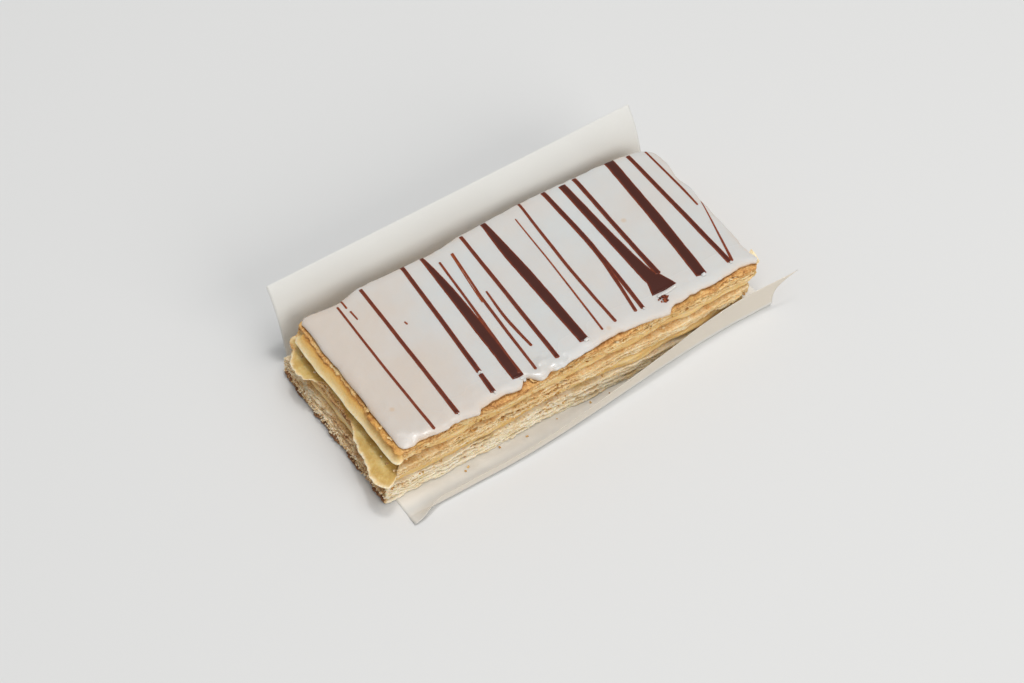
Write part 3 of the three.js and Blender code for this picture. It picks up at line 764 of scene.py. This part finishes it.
# How dull the front rim is along the slice: points (x, share).
ICING_DULL = [
    (-60, 0.0), (-54, 0.2), (-50, 0.9), (-46, 0.4), (-42, 1.0), (-22, 0.8), (-16, 0.1), (-8, 0.1),
    (-3, 0.9), (1, 0.8), (4.5, 0.2), (8, 1.0), (64, 1.0),
]
# Lumps and hollows of the icing: x, y, their half-widths along both, and height.
ICING_LUMPS = (-13, -27, 4, 3, 0.4)
ICING_PIT = (-5.4, -28.2, 0.9, 0.8, -0.7)
ICING_DROOP = (-61.5, -29.5, 5, 4, -1.2)


def mound(x, y, form):
    at_x, at_y, wide, deep, height = form
    return height * np.exp(-(((x - at_x) / wide) ** 2) - ((y - at_y) / deep) ** 2)


def icing_top(x, y):
    """The height of the icing's top: domed, with slow waves from pouring, bumps near its edge, lumps
    where it was pushed back from the front, one small pit and a drooping corner."""
    u, v = 0.83 * x + 0.56 * y, 0.83 * y - 0.56 * x
    inside = np.minimum(y - eased(ICING_FRONT, x), x - ICING["left"])
    bumps = 0.13 * uneven_area(u / 3.1, v / 2.6, 75) + 0.03 * uneven_area(v / 1.7, u / 1.4, 79)
    wave = 0.10 * uneven_area(u / 11, v / 9, 71) + 0.05 * uneven_area(v / 4.2, u / 3.7, 73)
    wave += bumps * (1 - smooth(inside, 2, 8))
    wave += mound(x, y, ICING_LUMPS) * (0.4 + uneven_area(x / 1.5, y / 1.3, 77))
    wave += mound(x, y, ICING_PIT)
    wave += mound(x, y, ICING_DROOP)
    return domed(x, ICING["high"]) + wave


def icing_height(x, y):
    """The height of the icing's surface, with its rounded front edge."""
    share, inside, _ = np.array(ICING_ROUND[3:]).T
    share = np.interp(y - eased(ICING_FRONT, x), inside, share)
    low = domed(x, ICING["low"])
    return low + (icing_top(x, y) - low) * share


def icing_slab(material):
    """The icing: its rounded edge in rings, and a top of straight lines from front to back, drawn
    over to the ends near them."""
    long_steps, end_steps, seed = ICING_LONG_STEPS, ICING_END_STEPS, ICING["seed"]
    lines = {
        "left": lambda y: ICING["left"] + 0.3 * uneven(y / 7, seed) + 0.12 * uneven(y / 1.7, seed + 9),
        "right": lambda y: ICING["right"] + 0.5 * uneven(y / 7, seed + 1) + 0.25 * uneven(y / 2, seed + 11),
        "front": lambda x: (
            eased(ICING_FRONT, x) + 0.26 * uneven(x / 1.9, seed + 12) + 0.12 * uneven(x / 0.9, seed + 14)),
        "back": lambda x: eased(ICING_BACK, x) + 0.15 * uneven(x / 2.1, seed + 13),
    }
    count = 2 * (long_steps + end_steps)
    levels = []
    for share, inside, _ in ICING_ROUND:
        spot, _ = outline(moved_in(lines, inside), long_steps, end_steps, max(ICING_CORNER - inside, 0.5))
        low = domed(spot[:, 0], ICING["low"])
        top = icing_top(spot[:, 0], spot[:, 1])
        levels.append(np.c_[spot, low + (top - low) * share])
    edge = levels[-1]

    front = edge[: long_steps + 1]
    right = edge[long_steps : long_steps + end_steps + 1]
    back = edge[long_steps + end_steps : 2 * long_steps + end_steps + 1][::-1]
    left = np.concatenate([edge[2 * long_steps + end_steps :], edge[:1]])[::-1]
    u = np.arange(long_steps + 1)[:, None, None]
    v = np.linspace(0, 1, end_steps + 1)[None, :, None]
    net = (1 - v) * front[:, None] + v * back[:, None]
    drawn = lambda away: np.clip(1 - away / 16, 0, 1) ** 2
    net += drawn(u) * (left[None] - net[:1]) + drawn(long_steps - u) * (right[None] - net[-1:])
    inner = net[1:-1, 1:-1].reshape(-1, 3)
    inner[:, 2] = icing_top(inner[:, 0], inner[:, 1])

    start = (len(levels) - 1) * count
    index = np.zeros((long_steps + 1, end_steps + 1), int)
    index[:, 0] = start + np.arange(long_steps + 1)
    index[-1, :] = start + long_steps + np.arange(end_steps + 1)
    index[:, -1] = start + long_steps + end_steps + np.arange(long_steps, -1, -1)
    index[0, 1:] = start + count - np.arange(1, end_steps + 1)
    index[1:-1, 1:-1] = start + count + np.arange(len(inner)).reshape(long_steps - 1, end_steps - 1)
    faces = wall_faces(len(levels), count) + cap_faces(0, long_steps, end_steps, False)
    faces += net_faces(index).tolist()
    points = np.concatenate(levels + [inner])
    piece = mesh_object("fondant_icing", points, faces)

    around = np.arange(count) * ICING_SPACING
    rim = np.clip(0.5 + 0.6 * uneven(around / 6, 81) + 0.4 * uneven(around / 2, 83), 0, 1)
    thin = [rim * strength for _, _, strength in ICING_ROUND]
    keep(piece, "thin", np.concatenate(thin + [np.zeros(len(inner))]))
    x, y = points[:, 0], points[:, 1]
    keep(piece, "dull", eased(ICING_DULL, x) * (1 - smooth(y - eased(ICING_FRONT, x), 1.0, 12)))
    piece.data.materials.append(material)
    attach(piece, "root")
    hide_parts("icing")
    return piece


# ---- Chocolate lines ---------------------------------------------------------------------------

# Lines from the back of the icing to the front: points (x, y, width).
STRIPES = [
    [(-51.2, 26.1, 0.55), (-51.5, 0, 0.65), (-51.3, -29.0, 0.75)],
    [(-49.0, 27.9, 0.45), (-49.1, 23.7, 0.5)],
    [(-48.8, 22.5, 0.5), (-48.6, 18.2, 0.35)],
    [(-41.9, 28.1, 0.95), (-42.3, 0, 1.05), (-42.8, -28.2, 1.25)],
    [(-37.5, 9.9, 0.35), (-37.3, 8.3, 0.45)],
    [(-26.9, 28.9, 1.15), (-28.4, 0, 1.3), (-29.5, -19.1, 1.4)],
    [(-29.6, -19.5, 1.3), (-30.1, -27.6, 1.5)],
    [(-20.2, 28.4, 1.0), (-20.0, 15, 2.4), (-20.3, 0, 3.0), (-21.0, -27.0, 3.5)],
    [(-16.5, 23.7, 0.6), (-18.0, 0, 0.7), (-19.6, -22.5, 0.9), (-19.9, -26.0, 1.1)],
    [(-11.3, 24.6, 0.5), (-12.9, 9.8, 0.6), (-13.7, 1.8, 0.8), (-15.1, -27.4, 0.7)],
    [(-11.8, 24.6, 0.25), (-13.6, 9.8, 0.25), (-14.3, 2.8, 0.3)],
    [(-11.0, 6.1, 0.45), (-11.8, -6, 0.8), (-11.3, -19.3, 0.7)],
    [(-5.6, 29.0, 1.0), (-6.5, 0, 1.15), (-7.4, -27.4, 1.3)],
    [(2.9, 29.8, 1.5), (2.8, 16, 2.9), (2.9, 0, 3.2), (2.8, -26.4, 2.8)],
    [(12.3, 25.6, 0.3), (11.2, 0, 0.4), (9.6, -25.9, 0.55)],
    [(16.7, 30.7, 0.7), (15.0, 1.7, 0.9), (14.6, -25.5, 0.8)],
    [(25.5, 30.5, 1.4), (25.8, 3.4, 1.5), (24.0, -12, 1.0), (21.9, -25.5, 0.9)],
    [(25.9, 4.4, 1.0), (25.4, -11, 1.2), (24.4, -25.7, 1.15)],
    [(32.1, 29.7, 2.2), (32.4, 8, 2.7), (33.0, -13.0, 3.8), (33.9, -18.4, 5.6), (34.1, -23.2, 8.3)],
    [(36.9, 30.2, 1.3), (36.4, 0, 1.4), (36.2, -17.0, 1.6)],
    [(50.3, 30.4, 3.1), (48.9, 2, 3.2), (47.0, -24.3, 3.3)],
    [(56.8, 29.3, 1.2), (57.1, 0, 1.4), (57.3, -24.6, 1.5)],
    [(62.6, 27.8, 0.5), (63.1, 10, 0.65), (63.0, -0.1, 0.5)],
    [(65.0, 1.0, 0.2), (61.6, -12, 0.45), (58.2, -24.6, 0.75)],
]
# White drops of icing at the front ends of the wider lines and on the front of the icing, given the
# same way. Their white stands in for highlights there, a painted highlight, and they also catch glints
# of the small softbox.
WHITE_HIGHLIGHT_DROPS = [
    [(-43.0, -28.5, 0.5), (-42.3, -28.4, 0.5)],
    [(-30.3, -28.0, 0.7), (-29.4, -27.8, 0.7)],
    [(-30.2, -19.2, 0.4), (-28.9, -18.9, 0.4)],
    [(-21.0, -27.5, 0.6), (-18.9, -27.9, 0.6)],
    [(2.4, -26.6, 0.9), (4.2, -26.4, 0.9)],
    [(24.0, -25.9, 0.6), (24.9, -25.8, 0.6)],
    [(30.4, -24.3, 0.7), (34.2, -24.1, 0.9), (37.8, -23.7, 0.7)],
    [(46.6, -24.6, 0.9), (48.3, -24.4, 0.9)],
    [(56.9, -24.9, 0.7), (58.0, -24.8, 0.7)],
    [(-25.6, -24.6, 0.7), (-25.2, -24.2, 0.5)],
    [(-24.2, -25.2, 0.5), (-24.0, -24.9, 0.6)],
    [(-23.4, -23.8, 0.4), (-23.3, -23.5, 0.4)],
    [(-12.4, -24.2, 0.8), (-11.9, -24.0, 0.6)],
    [(-10.2, -22.8, 0.6), (-9.9, -22.6, 0.5)],
    [(4.6, -23.4, 0.6), (5.0, -23.2, 0.5)],
    [(-48.2, -27.2, 0.7), (-47.9, -27.1, 0.7)],
]
LINE_RISE = 0.22  # how far the chocolate stands above the icing
HIGHLIGHT_DROP_RISE = 0.55
LINE_ROOT = 0.3  # how far its underside reaches into the icing
LINE_SPREAD = 1.1  # how much wider a line sets than it was piped, as a share and in millimetres
LINE_EDGE = 0.12
ROUND_END = 0.3  # the most that an end is rounded over
BEAD_LENGTH = 1.2
DRAWN_AT = 30  # height at which the lines are drawn before they are laid on the icing
LOOK_FROM = 50  # height from which the icing below is looked for
NO_ICING = 20.5  # height taken where there is none


def line_tree():
    """Sweeps a flattened bead along each line, lays it on the icing and thickens its front end."""
    tree, put, given = new_tree("piped_chocolate_lines", {
        "Step": 0.3 * MM, "Rise": LINE_RISE * MM, "Root": LINE_ROOT * MM, "Icing": "NodeSocketObject",
        "Material": "NodeSocketMaterial"})
    width = put("field", "width")
    place = put("place")
    lines = put("GeometryNodeMeshToCurve", Mesh=given["Geometry"])
    lines = put("GeometryNodeCurveSplineType", Curve=lines, spline_type="CATMULL_ROM")
    lines = put("GeometryNodeResampleCurve", Curve=lines, Length=given["Step"], mode="LENGTH")

    # The width wanders a little every 4 mm or so, and both ends are round.
    wander = put("MULTIPLY_ADD", put("noise", place, 0.26 * PER_MM, 2.0), 0.16, 0.92)
    spline = put("GeometryNodeSplineParameter").node.outputs
    from_start = spline["Length"]
    total = put("DIVIDE", from_start, put("MAXIMUM", spline["Factor"], 0.0001))
    from_end = put("SUBTRACT", total, from_start)
    half = put("MULTIPLY", put("MULTIPLY", width, wander), 0.5)

    def rounded(distance):
        """The share of its width that a line has at this distance from its end."""
        share = put("MINIMUM", put("DIVIDE", distance, put("MINIMUM", half, ROUND_END * MM)), 1.0)
        short = put("SUBTRACT", 1.0, share)
        return put("SQRT", put("MAXIMUM", put("SUBTRACT", 1.0, put("MULTIPLY", short, short)), 0.02))

    both_ends = put("MULTIPLY", rounded(from_start), rounded(put("MAXIMUM", from_end, 0.0)))
    kept = {
        "half": half,
        "bead": put("MAXIMUM", put("SUBTRACT", 1.0, put("DIVIDE", from_end, BEAD_LENGTH * MM)), 0.0),
        "breadth": put("MULTIPLY", half, both_ends),
    }
    lines = put("GeometryNodeSetCurveNormal", Curve=lines, mode="Z_UP")
    for name, value in kept.items():
        lines = put("store", lines, name, value)
    half, bead, breadth = [put("field", name) for name in kept]
    profile = put("GeometryNodeCurvePrimitiveCircle", Resolution=18, Radius=1.0)
    body = put("GeometryNodeCurveToMesh", Curve=lines, Profile_Curve=profile, Scale=breadth, Fill_Caps=True)

    # Each point takes its height from the icing below it and from its place round the bead.
    x, y, z = put("x", place), put("y", place), put("z", place)
    icing = put("GeometryNodeObjectInfo", Object=given["Icing"], transform_space="ORIGINAL")
    ground = put("GeometryNodeRaycast", Target_Geometry=icing.node.outputs["Geometry"],
                 Source_Position=put("join", x, y, LOOK_FROM * MM), Ray_Direction=(0, 0, -1), Ray_Length=0.1)
    ground = ground.node.outputs
    missed = put("MULTIPLY", put("SUBTRACT", 1.0, ground["Is Hit"]), NO_ICING * MM)
    found = put("ADD", put("z", ground["Hit Position"]), missed)
    up = put("DIVIDE", put("SUBTRACT", z, DRAWN_AT * MM), put("MAXIMUM", breadth, 0.01 * MM))
    crown = put("POWER", put("MAXIMUM", up, 0.0), 0.45)
    crown = put("MULTIPLY", crown, put("MULTIPLY", given["Rise"], put("MULTIPLY_ADD", bead, 0.7, 1.0)))
    crown = put("MULTIPLY", crown, put("MINIMUM", put("MULTIPLY_ADD", half, 0.9 / MM, 0.45), 1.0))
    crown = put("MULTIPLY", crown, put("DIVIDE", breadth, put("MAXIMUM", half, 0.01 * MM)))
    below = put("MULTIPLY", put("MAXIMUM", put("MULTIPLY", up, -1.0), 0.0), given["Root"])
    rise = put("SUBTRACT", put("ADD", found, crown), below)

    # The chocolate thins out to its edge over half a millimetre.
    middle = put("SQRT", put("MAXIMUM", put("SUBTRACT", 1.0, put("MULTIPLY", up, up)), 0.0))
    from_rim = put("MULTIPLY", breadth, put("SUBTRACT", 1.0, middle))
    thickness = put("MULTIPLY_ADD", from_rim, 0.85 / MM, 0.08)
    thickness = put("MINIMUM", put("MULTIPLY", half, 0.62 / MM), thickness)
    body = put("store", body, "thickness", thickness)
    body = put("GeometryNodeSetPosition", Geometry=body, Position=put("join", x, y, rise))
    body = put("GeometryNodeSetShadeSmooth", Geometry=body, Shade_Smooth=True)
    put("NodeGroupOutput", put("set material", put("realize", body), given["Material"]))
    return tree


def laid_lines(name, lines, slot, tree, **values):
    points, widths, edges = [], [], []
    for line in lines:
        edges += [(len(points) + step, len(points) + step + 1) for step in range(len(line) - 1)]
        points += [(x, y, DRAWN_AT) for x, y, _ in line]
        widths += [(width * LINE_SPREAD + LINE_EDGE) * MM for _, _, width in line]
    piece = mesh_object(name, points, edges=edges, smooth_shading=False)
    keep(piece, "width", widths)
    grow(piece, tree, **values)
    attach(piece, "root")


# ---- Flakes and crumbs -------------------------------------------------------------------------


def scatter_tree(name, curl):
    """Scatters small thin plates over a guide: each has its own size, turn, tilt and browning. With
    curl at 0 they are lumps instead of plates."""
    tree, put, given = new_tree(name, {
        "Density": 100000.0, "Length": 0.0016, "Breadth": 0.0011, "Thickness": 0.00012, "Tilt": 0.7,
        "Palest": 0.1, "Brownest": 0.8, "Seed": 1, "Material": "NodeSocketMaterial"})
    size = put("join", given["Length"], given["Breadth"], given["Thickness"])
    one = put("GeometryNodeMeshCube", size, 4, 3, 2)
    place = put("place")
    along = put("x", place)
    bent = put("DIVIDE", put("MULTIPLY", put("MULTIPLY", along, along), curl), given["Length"])
    one = put("set position", one, put("join", 0.0, 0.0, bent))

    points = put("GeometryNodeDistributePointsOnFaces", Mesh=given["Geometry"], Density=given["Density"],
                 Seed=given["Seed"])
    brown = put("random", given["Palest"], given["Brownest"], given["Seed"])
    for label in ("bake", "thickness"):
        points = put("store", points, label, brown)
    turned = put("random vector", (-1.0, -1.0, -3.14), (1.0, 1.0, 3.14), given["Seed"])
    tilt = put("join", given["Tilt"], given["Tilt"], 1.0)
    turned = put("ShaderNodeVectorMath", turned, tilt, operation="MULTIPLY")
    plates = put("GeometryNodeInstanceOnPoints", Points=points, Instance=one,
                 Rotation=put("FunctionNodeEulerToRotation", turned),
                 Scale=put("random", 0.35, 1.0, given["Seed"], put("index")))
    plates = put("realize", plates)

    # Broken outlines: every corner is shifted by its own amount, and none goes under the table.
    ragged = put("noise", place, 1.5 * PER_MM, 2.0).node.outputs["Color"]
    ragged = put("ShaderNodeVectorMath", ragged, (0.5, 0.5, 0.5), operation="SUBTRACT")
    ragged = put("scaled", ragged, put("MULTIPLY", given["Breadth"], 0.9))
    plates = put("set position", plates, ragged)
    raised = put("join", put("x", place), put("y", place), put("MAXIMUM", put("z", place), 0.15 * MM))
    plates = put("GeometryNodeSetPosition", Geometry=plates, Position=raised)
    put("NodeGroupOutput", put("set material", put("realize", plates), given["Material"]))
    return tree


def walls(names, wanted):
    """The upright sides of these layers, for flakes to cling to, where wanted(outward x) is true."""
    points, faces = [], []
    for name in names:
        layer = LAYERS[name]
        ring, outward = outline(layer_lines(layer), 120, 56, CORNER)
        count, start = len(ring), len(points)
        for height in (layer["low"] + 0.5, layer["high"] - 0.3):
            points += np.c_[ring - 0.35 * outward, domed(ring[:, 0], height)].tolist()
        kept = [face for face in wall_faces(2, count) if wanted(outward[face[0], 0])]
        faces += [tuple(start + p for p in face) for face in kept]
    return points, faces


def patches(places, height):
    """Small level guides: each place is (low x, high x, low y, high y), and height gives z."""
    points, faces = [], []
    for x0, x1, y0, y1 in places:
        x, y = np.array([x0, x1, x1, x0]), np.array([y0, y0, y1, y1])
        faces.append(tuple(range(len(points), len(points) + 4)))
        points += np.c_[x, y, height(x, y)].tolist()
    return points, faces


def scattered(name, guide, tree, slot, **values):
    piece = mesh_object(name, *guide, smooth_shading=False)
    grow(piece, tree, **values)
    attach(piece, "root")


# ---- Paper -------------------------------------------------------------------------------------

# Lengths in millimetres and angles in degrees. A flap rises from its fold at its angle, and the ear
# is the thin point at the front right.
PAPER = dict(
    left=-66.5, right=66, thickness=0.12, fold_radius=1.3,
    back_fold=31, back_length=27, back_growth=2.3, back_angle=82, back_ease=36,
    front_fold=-30.3, front_length=11.2, front_flat=7.3, slant_from=-38, slant_to=56, front_angle=93,
    corner_angle=12, corner_reach=11, right_slant=3.5, ear_reach=9.5, ear_shape=6, ear_part=0.7,
)
PAPER_COLUMNS = 160
FOLD_STEPS = 8
BACK_STEPS = 56
FRONT_STEPS = 24
BED_STEPS = 12


def paper_sheet(material):
    """A folded sheet: the angle of its middle surface is worked out along its length, from the bed
    under the slice up each flap, and added up to a curve at every place along the slice."""
    p = PAPER
    share = np.linspace(0, 1, PAPER_COLUMNS + 1)[:, None]
    x = p["left"] + (p["right"] - p["left"]) * share

    def climb(lengths, angles, start):
        """Out and up from start, along stretches of these lengths at these angles."""
        zero = np.zeros((PAPER_COLUMNS + 1, 1))
        out = np.concatenate([zero, np.cumsum(lengths * np.cos(angles), 1)], 1)
        up = np.concatenate([zero, np.cumsum(lengths * np.sin(angles), 1)], 1)
        return start + out, up

    fold, free = np.arange(FOLD_STEPS) + 0.5, np.arange(BACK_STEPS) + 0.5
    angle = math.radians(p["back_angle"])
    bend = np.full((PAPER_COLUMNS + 1, FOLD_STEPS), p["fold_radius"] * angle / FOLD_STEPS)
    length = p["back_length"] + p["back_growth"] * share
    lengths = np.concatenate([bend, np.tile(length / BACK_STEPS, BACK_STEPS)], 1)
    easing = math.radians(p["back_ease"]) * (free / BACK_STEPS) ** 2
    angles = np.concatenate([angle * fold / FOLD_STEPS, angle - easing])
    back_y, back_z = climb(lengths, np.tile(angles, (PAPER_COLUMNS + 1, 1)), p["back_fold"])

    # Front flap: flat to a slanting crease, then turned up, with its end curling towards the ear.
    flat = p["front_flat"] * (1 - smooth(x, p["slant_from"], p["slant_to"]))
    lifted = smooth(x, p["left"], p["left"] + p["corner_reach"])
    angle = np.radians(p["corner_angle"] + (p["front_angle"] - p["corner_angle"]) * lifted)
    bend = p["fold_radius"] * angle
    rest = p["front_length"] - flat - bend
    stretches = np.tile(bend / FOLD_STEPS, FOLD_STEPS), np.tile(rest / FRONT_STEPS, FRONT_STEPS)
    lengths = np.concatenate(stretches, 1)
    angles = np.concatenate([angle * fold / FOLD_STEPS, np.tile(angle, FRONT_STEPS)], 1)
    out, front_z = climb(lengths, angles, 0)
    front_y = p["front_fold"] - flat - out

    bed = np.linspace(0, 1, BED_STEPS)[1:-1]
    bed_y = p["back_fold"] + (p["front_fold"] - flat - p["back_fold"]) * bed
    y = np.concatenate([back_y[:, ::-1], bed_y, front_y], 1)
    z = np.concatenate([back_z[:, ::-1], 0 * bed_y, front_z], 1)
    ear_base = (1 - p["ear_part"]) * np.arange(FOLD_STEPS) / FOLD_STEPS
    ear_tip = 1 - p["ear_part"] * (1 - np.arange(FRONT_STEPS + 1) / FRONT_STEPS)
    ear = np.concatenate([np.zeros(y.shape[1] - FOLD_STEPS - FRONT_STEPS - 1), ear_base, ear_tip])
    right = p["right"] + p["right_slant"] * smooth(-y, 0, -p["front_fold"])
    right = right + p["ear_reach"] * ear ** p["ear_shape"]
    across = p["left"] + (right - p["left"]) * share

    # The flaps buckle a little; the bed lies flat.
    run = np.cumsum(np.hypot(np.diff(y, axis=1, prepend=y[:, :1]), np.diff(z, axis=1, prepend=0)), 1)
    buckle = 0.4 * uneven_area(across / 26, run / 19, 91) + 0.1 * uneven_area(across / 8, run / 9, 93)
    buckle = smooth(z, 0.3, 6) * buckle
    dy, dz = np.gradient(y, axis=1), np.gradient(z, axis=1)
    size = np.hypot(dy, dz)
    ny, nz = dz / size, -dy / size
    y, z = y + buckle * ny, z + buckle * nz
    half = p["thickness"] / 2
    upper = np.stack([across, y + half * ny, half + z + half * nz], -1)
    lower = np.stack([across, y - half * ny, half + z - half * nz], -1)
    index = np.arange(y.size).reshape(y.shape)
    under = index.size
    faces = net_faces(index)[:, [0, 3, 2, 1]].tolist() + (net_faces(index) + under).tolist()
    rim = [*index[:-1, 0], *index[-1, :-1], *index[:0:-1, -1], *index[0, :0:-1]]
    faces += [(int(i), int(j), int(j) + under, int(i) + under) for i, j in zip(rim, rim[1:] + rim[:1])]
    points = np.concatenate([upper.reshape(-1, 3), lower.reshape(-1, 3)])
    piece = mesh_object("greaseproof_sheet", points, faces)

    # Painted light, inside and outside: painted cream and lighter next to the slice in front, where the
    # paper lies in shade, and only at the fold outside; the back flap is painted lighter near its fold
    # and darker towards its top, against the way its lean catches the light.
    at_back = 0.5 + 0.4 * smooth(9 - z, 0, 9)
    inside = 1 - 0.7 * smooth(-y, 32, 38)
    outside = inside * smooth(2.5 - z, 0, 2.5)
    soak = [np.where(y > 0, at_back, front).ravel() for front in (inside, outside)]
    keep(piece, "soak", np.concatenate(soak))
    piece.data.materials.append(material)
    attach(piece, "root")
    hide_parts("paper")


# ---- Making the slice --------------------------------------------------------------------------

# Each sheet's leaves: sizes and reaches in metres, heights as a share of the sheet, browning as a share.
leaves = leaf_tree()
pastry_sheet("pastry_bottom", leaves, {
    "Leaves": 6, "Low": 0.00025, "Ragged": 0.0011, "Wave": 0.0004, "Tongue height": 5.5 / 6,
    "Slope": 0.0026, "Thickness": 0.00046, "Coat": 0.3, "Toast": 0.35, "Crust": 0.5,
    "Crust height": 0.5 / 6, "Browner right": 0.1, "Foot": 0.0010})
pastry_sheet("pastry_middle", leaves, {
    "Leaves": 5, "Tongue height": 4.5 / 5, "Tongue falloff": 3.0, "Tongue thickness": 0.0003,
    "Tongue smoothness": 0.1, "Thickness": 0.00046, "Ragged": 0.0010, "Coat": 1.0, "Toast": 0.35})
pastry_sheet("pastry_top", leaves, {
    "Leaves": 5, "Tongue height": 0.5 / 5, "Tongue thickness": 0.0004, "Tongue smoothness": 0.9,
    "Thickness": 0.00046, "Ragged": 0.0010, "Wedge": 0.0029, "Toast": 0.3, "Crust": 0.27,
    "Crust height": 4.5 / 5, "Crust falloff": 1.8, "Top reach": 0.0011})
custard = set_custard("set_vanilla_custard")
custard_layer("custard_lower", custard)
custard_layer("custard_upper", custard)
fondant = poured_fondant("poured_fondant")
icing = icing_slab(fondant)
chocolate = piped_chocolate("piped_dark_chocolate")
laid = line_tree()
laid_lines("chocolate_lines", STRIPES, "chocolate", laid, Icing=icing, Material=chocolate)
# White drops of icing that stand in for highlights: painted highlight.
laid_lines("icing_lips", WHITE_HIGHLIGHT_DROPS, "fondant_icing", laid, Icing=icing, Material=fondant, Rise=HIGHLIGHT_DROP_RISE * MM)
paper_sheet(greaseproof("bleached_greaseproof_paper"))

# Flakes cling to the cut sides, crumbs to the left end, and some of both have dropped.
LEFT_END = -0.4  # a side faces the left end where its outward x is below this
flakes = scatter_tree("scattered_flakes", 0.9)
crumbs = scatter_tree("scattered_crumbs", 0.0)
loose_pastry = baked_puff_pastry("loose_puff_pastry", PASTRY_COLOURS["pastry_top"])
toasted_crumb = baked_puff_pastry("toasted_pastry_crumb", PASTRY_COLOURS["pastry_bottom"])
scattered(
    "side_flakes", walls(LAYERS, lambda x: x > LEFT_END), flakes, "puff_pastry", Density=800000.0,
    Length=0.0015, Breadth=0.0009, Material=loose_pastry, Seed=5)
scattered(
    "left_end_crumbs", walls(["pastry_bottom", "custard_lower", "pastry_middle"], lambda x: x <= LEFT_END),
    crumbs, "puff_pastry", Density=850000.0, Length=0.0008, Breadth=0.0005, Thickness=0.0003, Palest=0.3,
    Brownest=0.95, Material=toasted_crumb, Seed=6)
scattered(
    "edge_flakes", patches(
        [(-63.6, -62.6, -27, -9), (-20, -14.5, -29.6, -28.4)], lambda x, y: domed(x, 19.7)),
    flakes, "puff_pastry", Density=200000.0, Length=0.0028, Breadth=0.0012, Tilt=0.3, Palest=0.2,
    Brownest=0.6, Material=loose_pastry, Seed=8)
scattered(
    "end_flakes", patches([(63.8, 66.3, -28.0, -22)], lambda x, y: domed(x, 18.9)), flakes, "puff_pastry",
    Density=420000.0, Length=0.0032, Breadth=0.0018, Tilt=0.25, Palest=0.0, Brownest=0.15,
    Material=loose_pastry, Seed=9)
scattered(
    "paper_crumbs", patches([
        (-60, -20, -33.5, -31.0), (-20, 30, -32.5, -31.0), (62, 64.5, -20, 20), (-30, -28, -33, -32),
        (-52, -50, -33, -32)], lambda x, y: np.full(4, 0.3)),
    crumbs, "puff_pastry", Density=45000.0, Length=0.0008, Breadth=0.0006, Thickness=0.0004, Palest=0.3,
    Brownest=0.9, Material=loose_pastry, Seed=3)
scattered(
    "chocolate_crumbs", patches([(29.9, 33.2, -27.0, -24.9)], icing_height), crumbs, "chocolate",
    Density=2600000.0, Length=0.0012, Breadth=0.0010, Thickness=0.0009, Palest=0.05, Brownest=0.45,
    Material=chocolate, Seed=4)

# ---- Stage, lights and camera ------------------------------------------------------------------

FLOOR_HALF = 3000


def stage():
    corners = [(-1, -1), (1, -1), (1, 1), (-1, 1)]
    floor = mesh_object("studio_floor", [(x * FLOOR_HALF, y * FLOOR_HALF, 0) for x, y in corners],
                        [(0, 1, 2, 3)], smooth_shading=False)
    material, put = new_material("matt_studio_floor")
    shader = put("ShaderNodeBsdfPrincipled", Base_Color=linear("#D6D6D5"), Roughness=0.7)
    put("ShaderNodeOutputMaterial", shader)
    floor.data.materials.append(material)
    floor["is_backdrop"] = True


def soft_light(name, at, size, watts, colour):
    """A soft rectangular light that faces the slice."""
    lamp = bpy.data.lights.new(name, "AREA")
    lamp.shape = "RECTANGLE"
    lamp.size, lamp.size_y = size
    lamp.energy = watts
    lamp.color = linear(colour)[:3]
    light = bpy.data.objects.new(name, lamp)
    light.location = at
    light.rotation_euler = (-Vector(at)).to_track_quat("-Z", "Y").to_euler()
    bpy.context.scene.collection.objects.link(light)


def camera():
    lens = bpy.data.cameras.new("studio_camera")
    lens.lens = FOCAL_LENGTH
    lens.sensor_width = SENSOR_WIDTH
    lens.clip_start = 0.01
    holder = bpy.data.objects.new("studio_camera", lens)
    turns = [(-CAMERA_TURNED, "Z"), (90 - CAMERA_RAISED, "X"), (CAMERA_ROLLED, "Z")]
    holder.matrix_world = Matrix.Translation(CAMERA_AT)
    for degrees, axis in turns:
        holder.matrix_world = holder.matrix_world @ Matrix.Rotation(math.radians(degrees), 4, axis)
    bpy.context.scene.collection.objects.link(holder)
    bpy.context.scene.camera = holder


def studio_air(colour, strength):
    world = bpy.data.worlds.new("studio_air")
    world.use_nodes = True
    background = world.node_tree.nodes["Background"].inputs
    background[0].default_value = linear(colour)
    background[1].default_value = strength
    bpy.context.scene.world = world
    bpy.context.scene.view_settings.view_transform = "Standard"


stage()
soft_light("overhead_softbox", (0.25, -0.15, 2.0), (1.3, 1.3), 14.8, "#FFFFFF")
soft_light("small_softbox", (0.15, 0.15, 1.4), (0.18, 0.18), 4.0, "#FFFFFF")
soft_light("front_fill", (0.4, -1.8, 1.0), (1.6, 1.2), 20, "#FFFDFA")
studio_air("#F4F5F6", 0.45)
camera()

{"cad": [list(corner) for corner in cad_box], "visual": [list(corner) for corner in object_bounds()]}
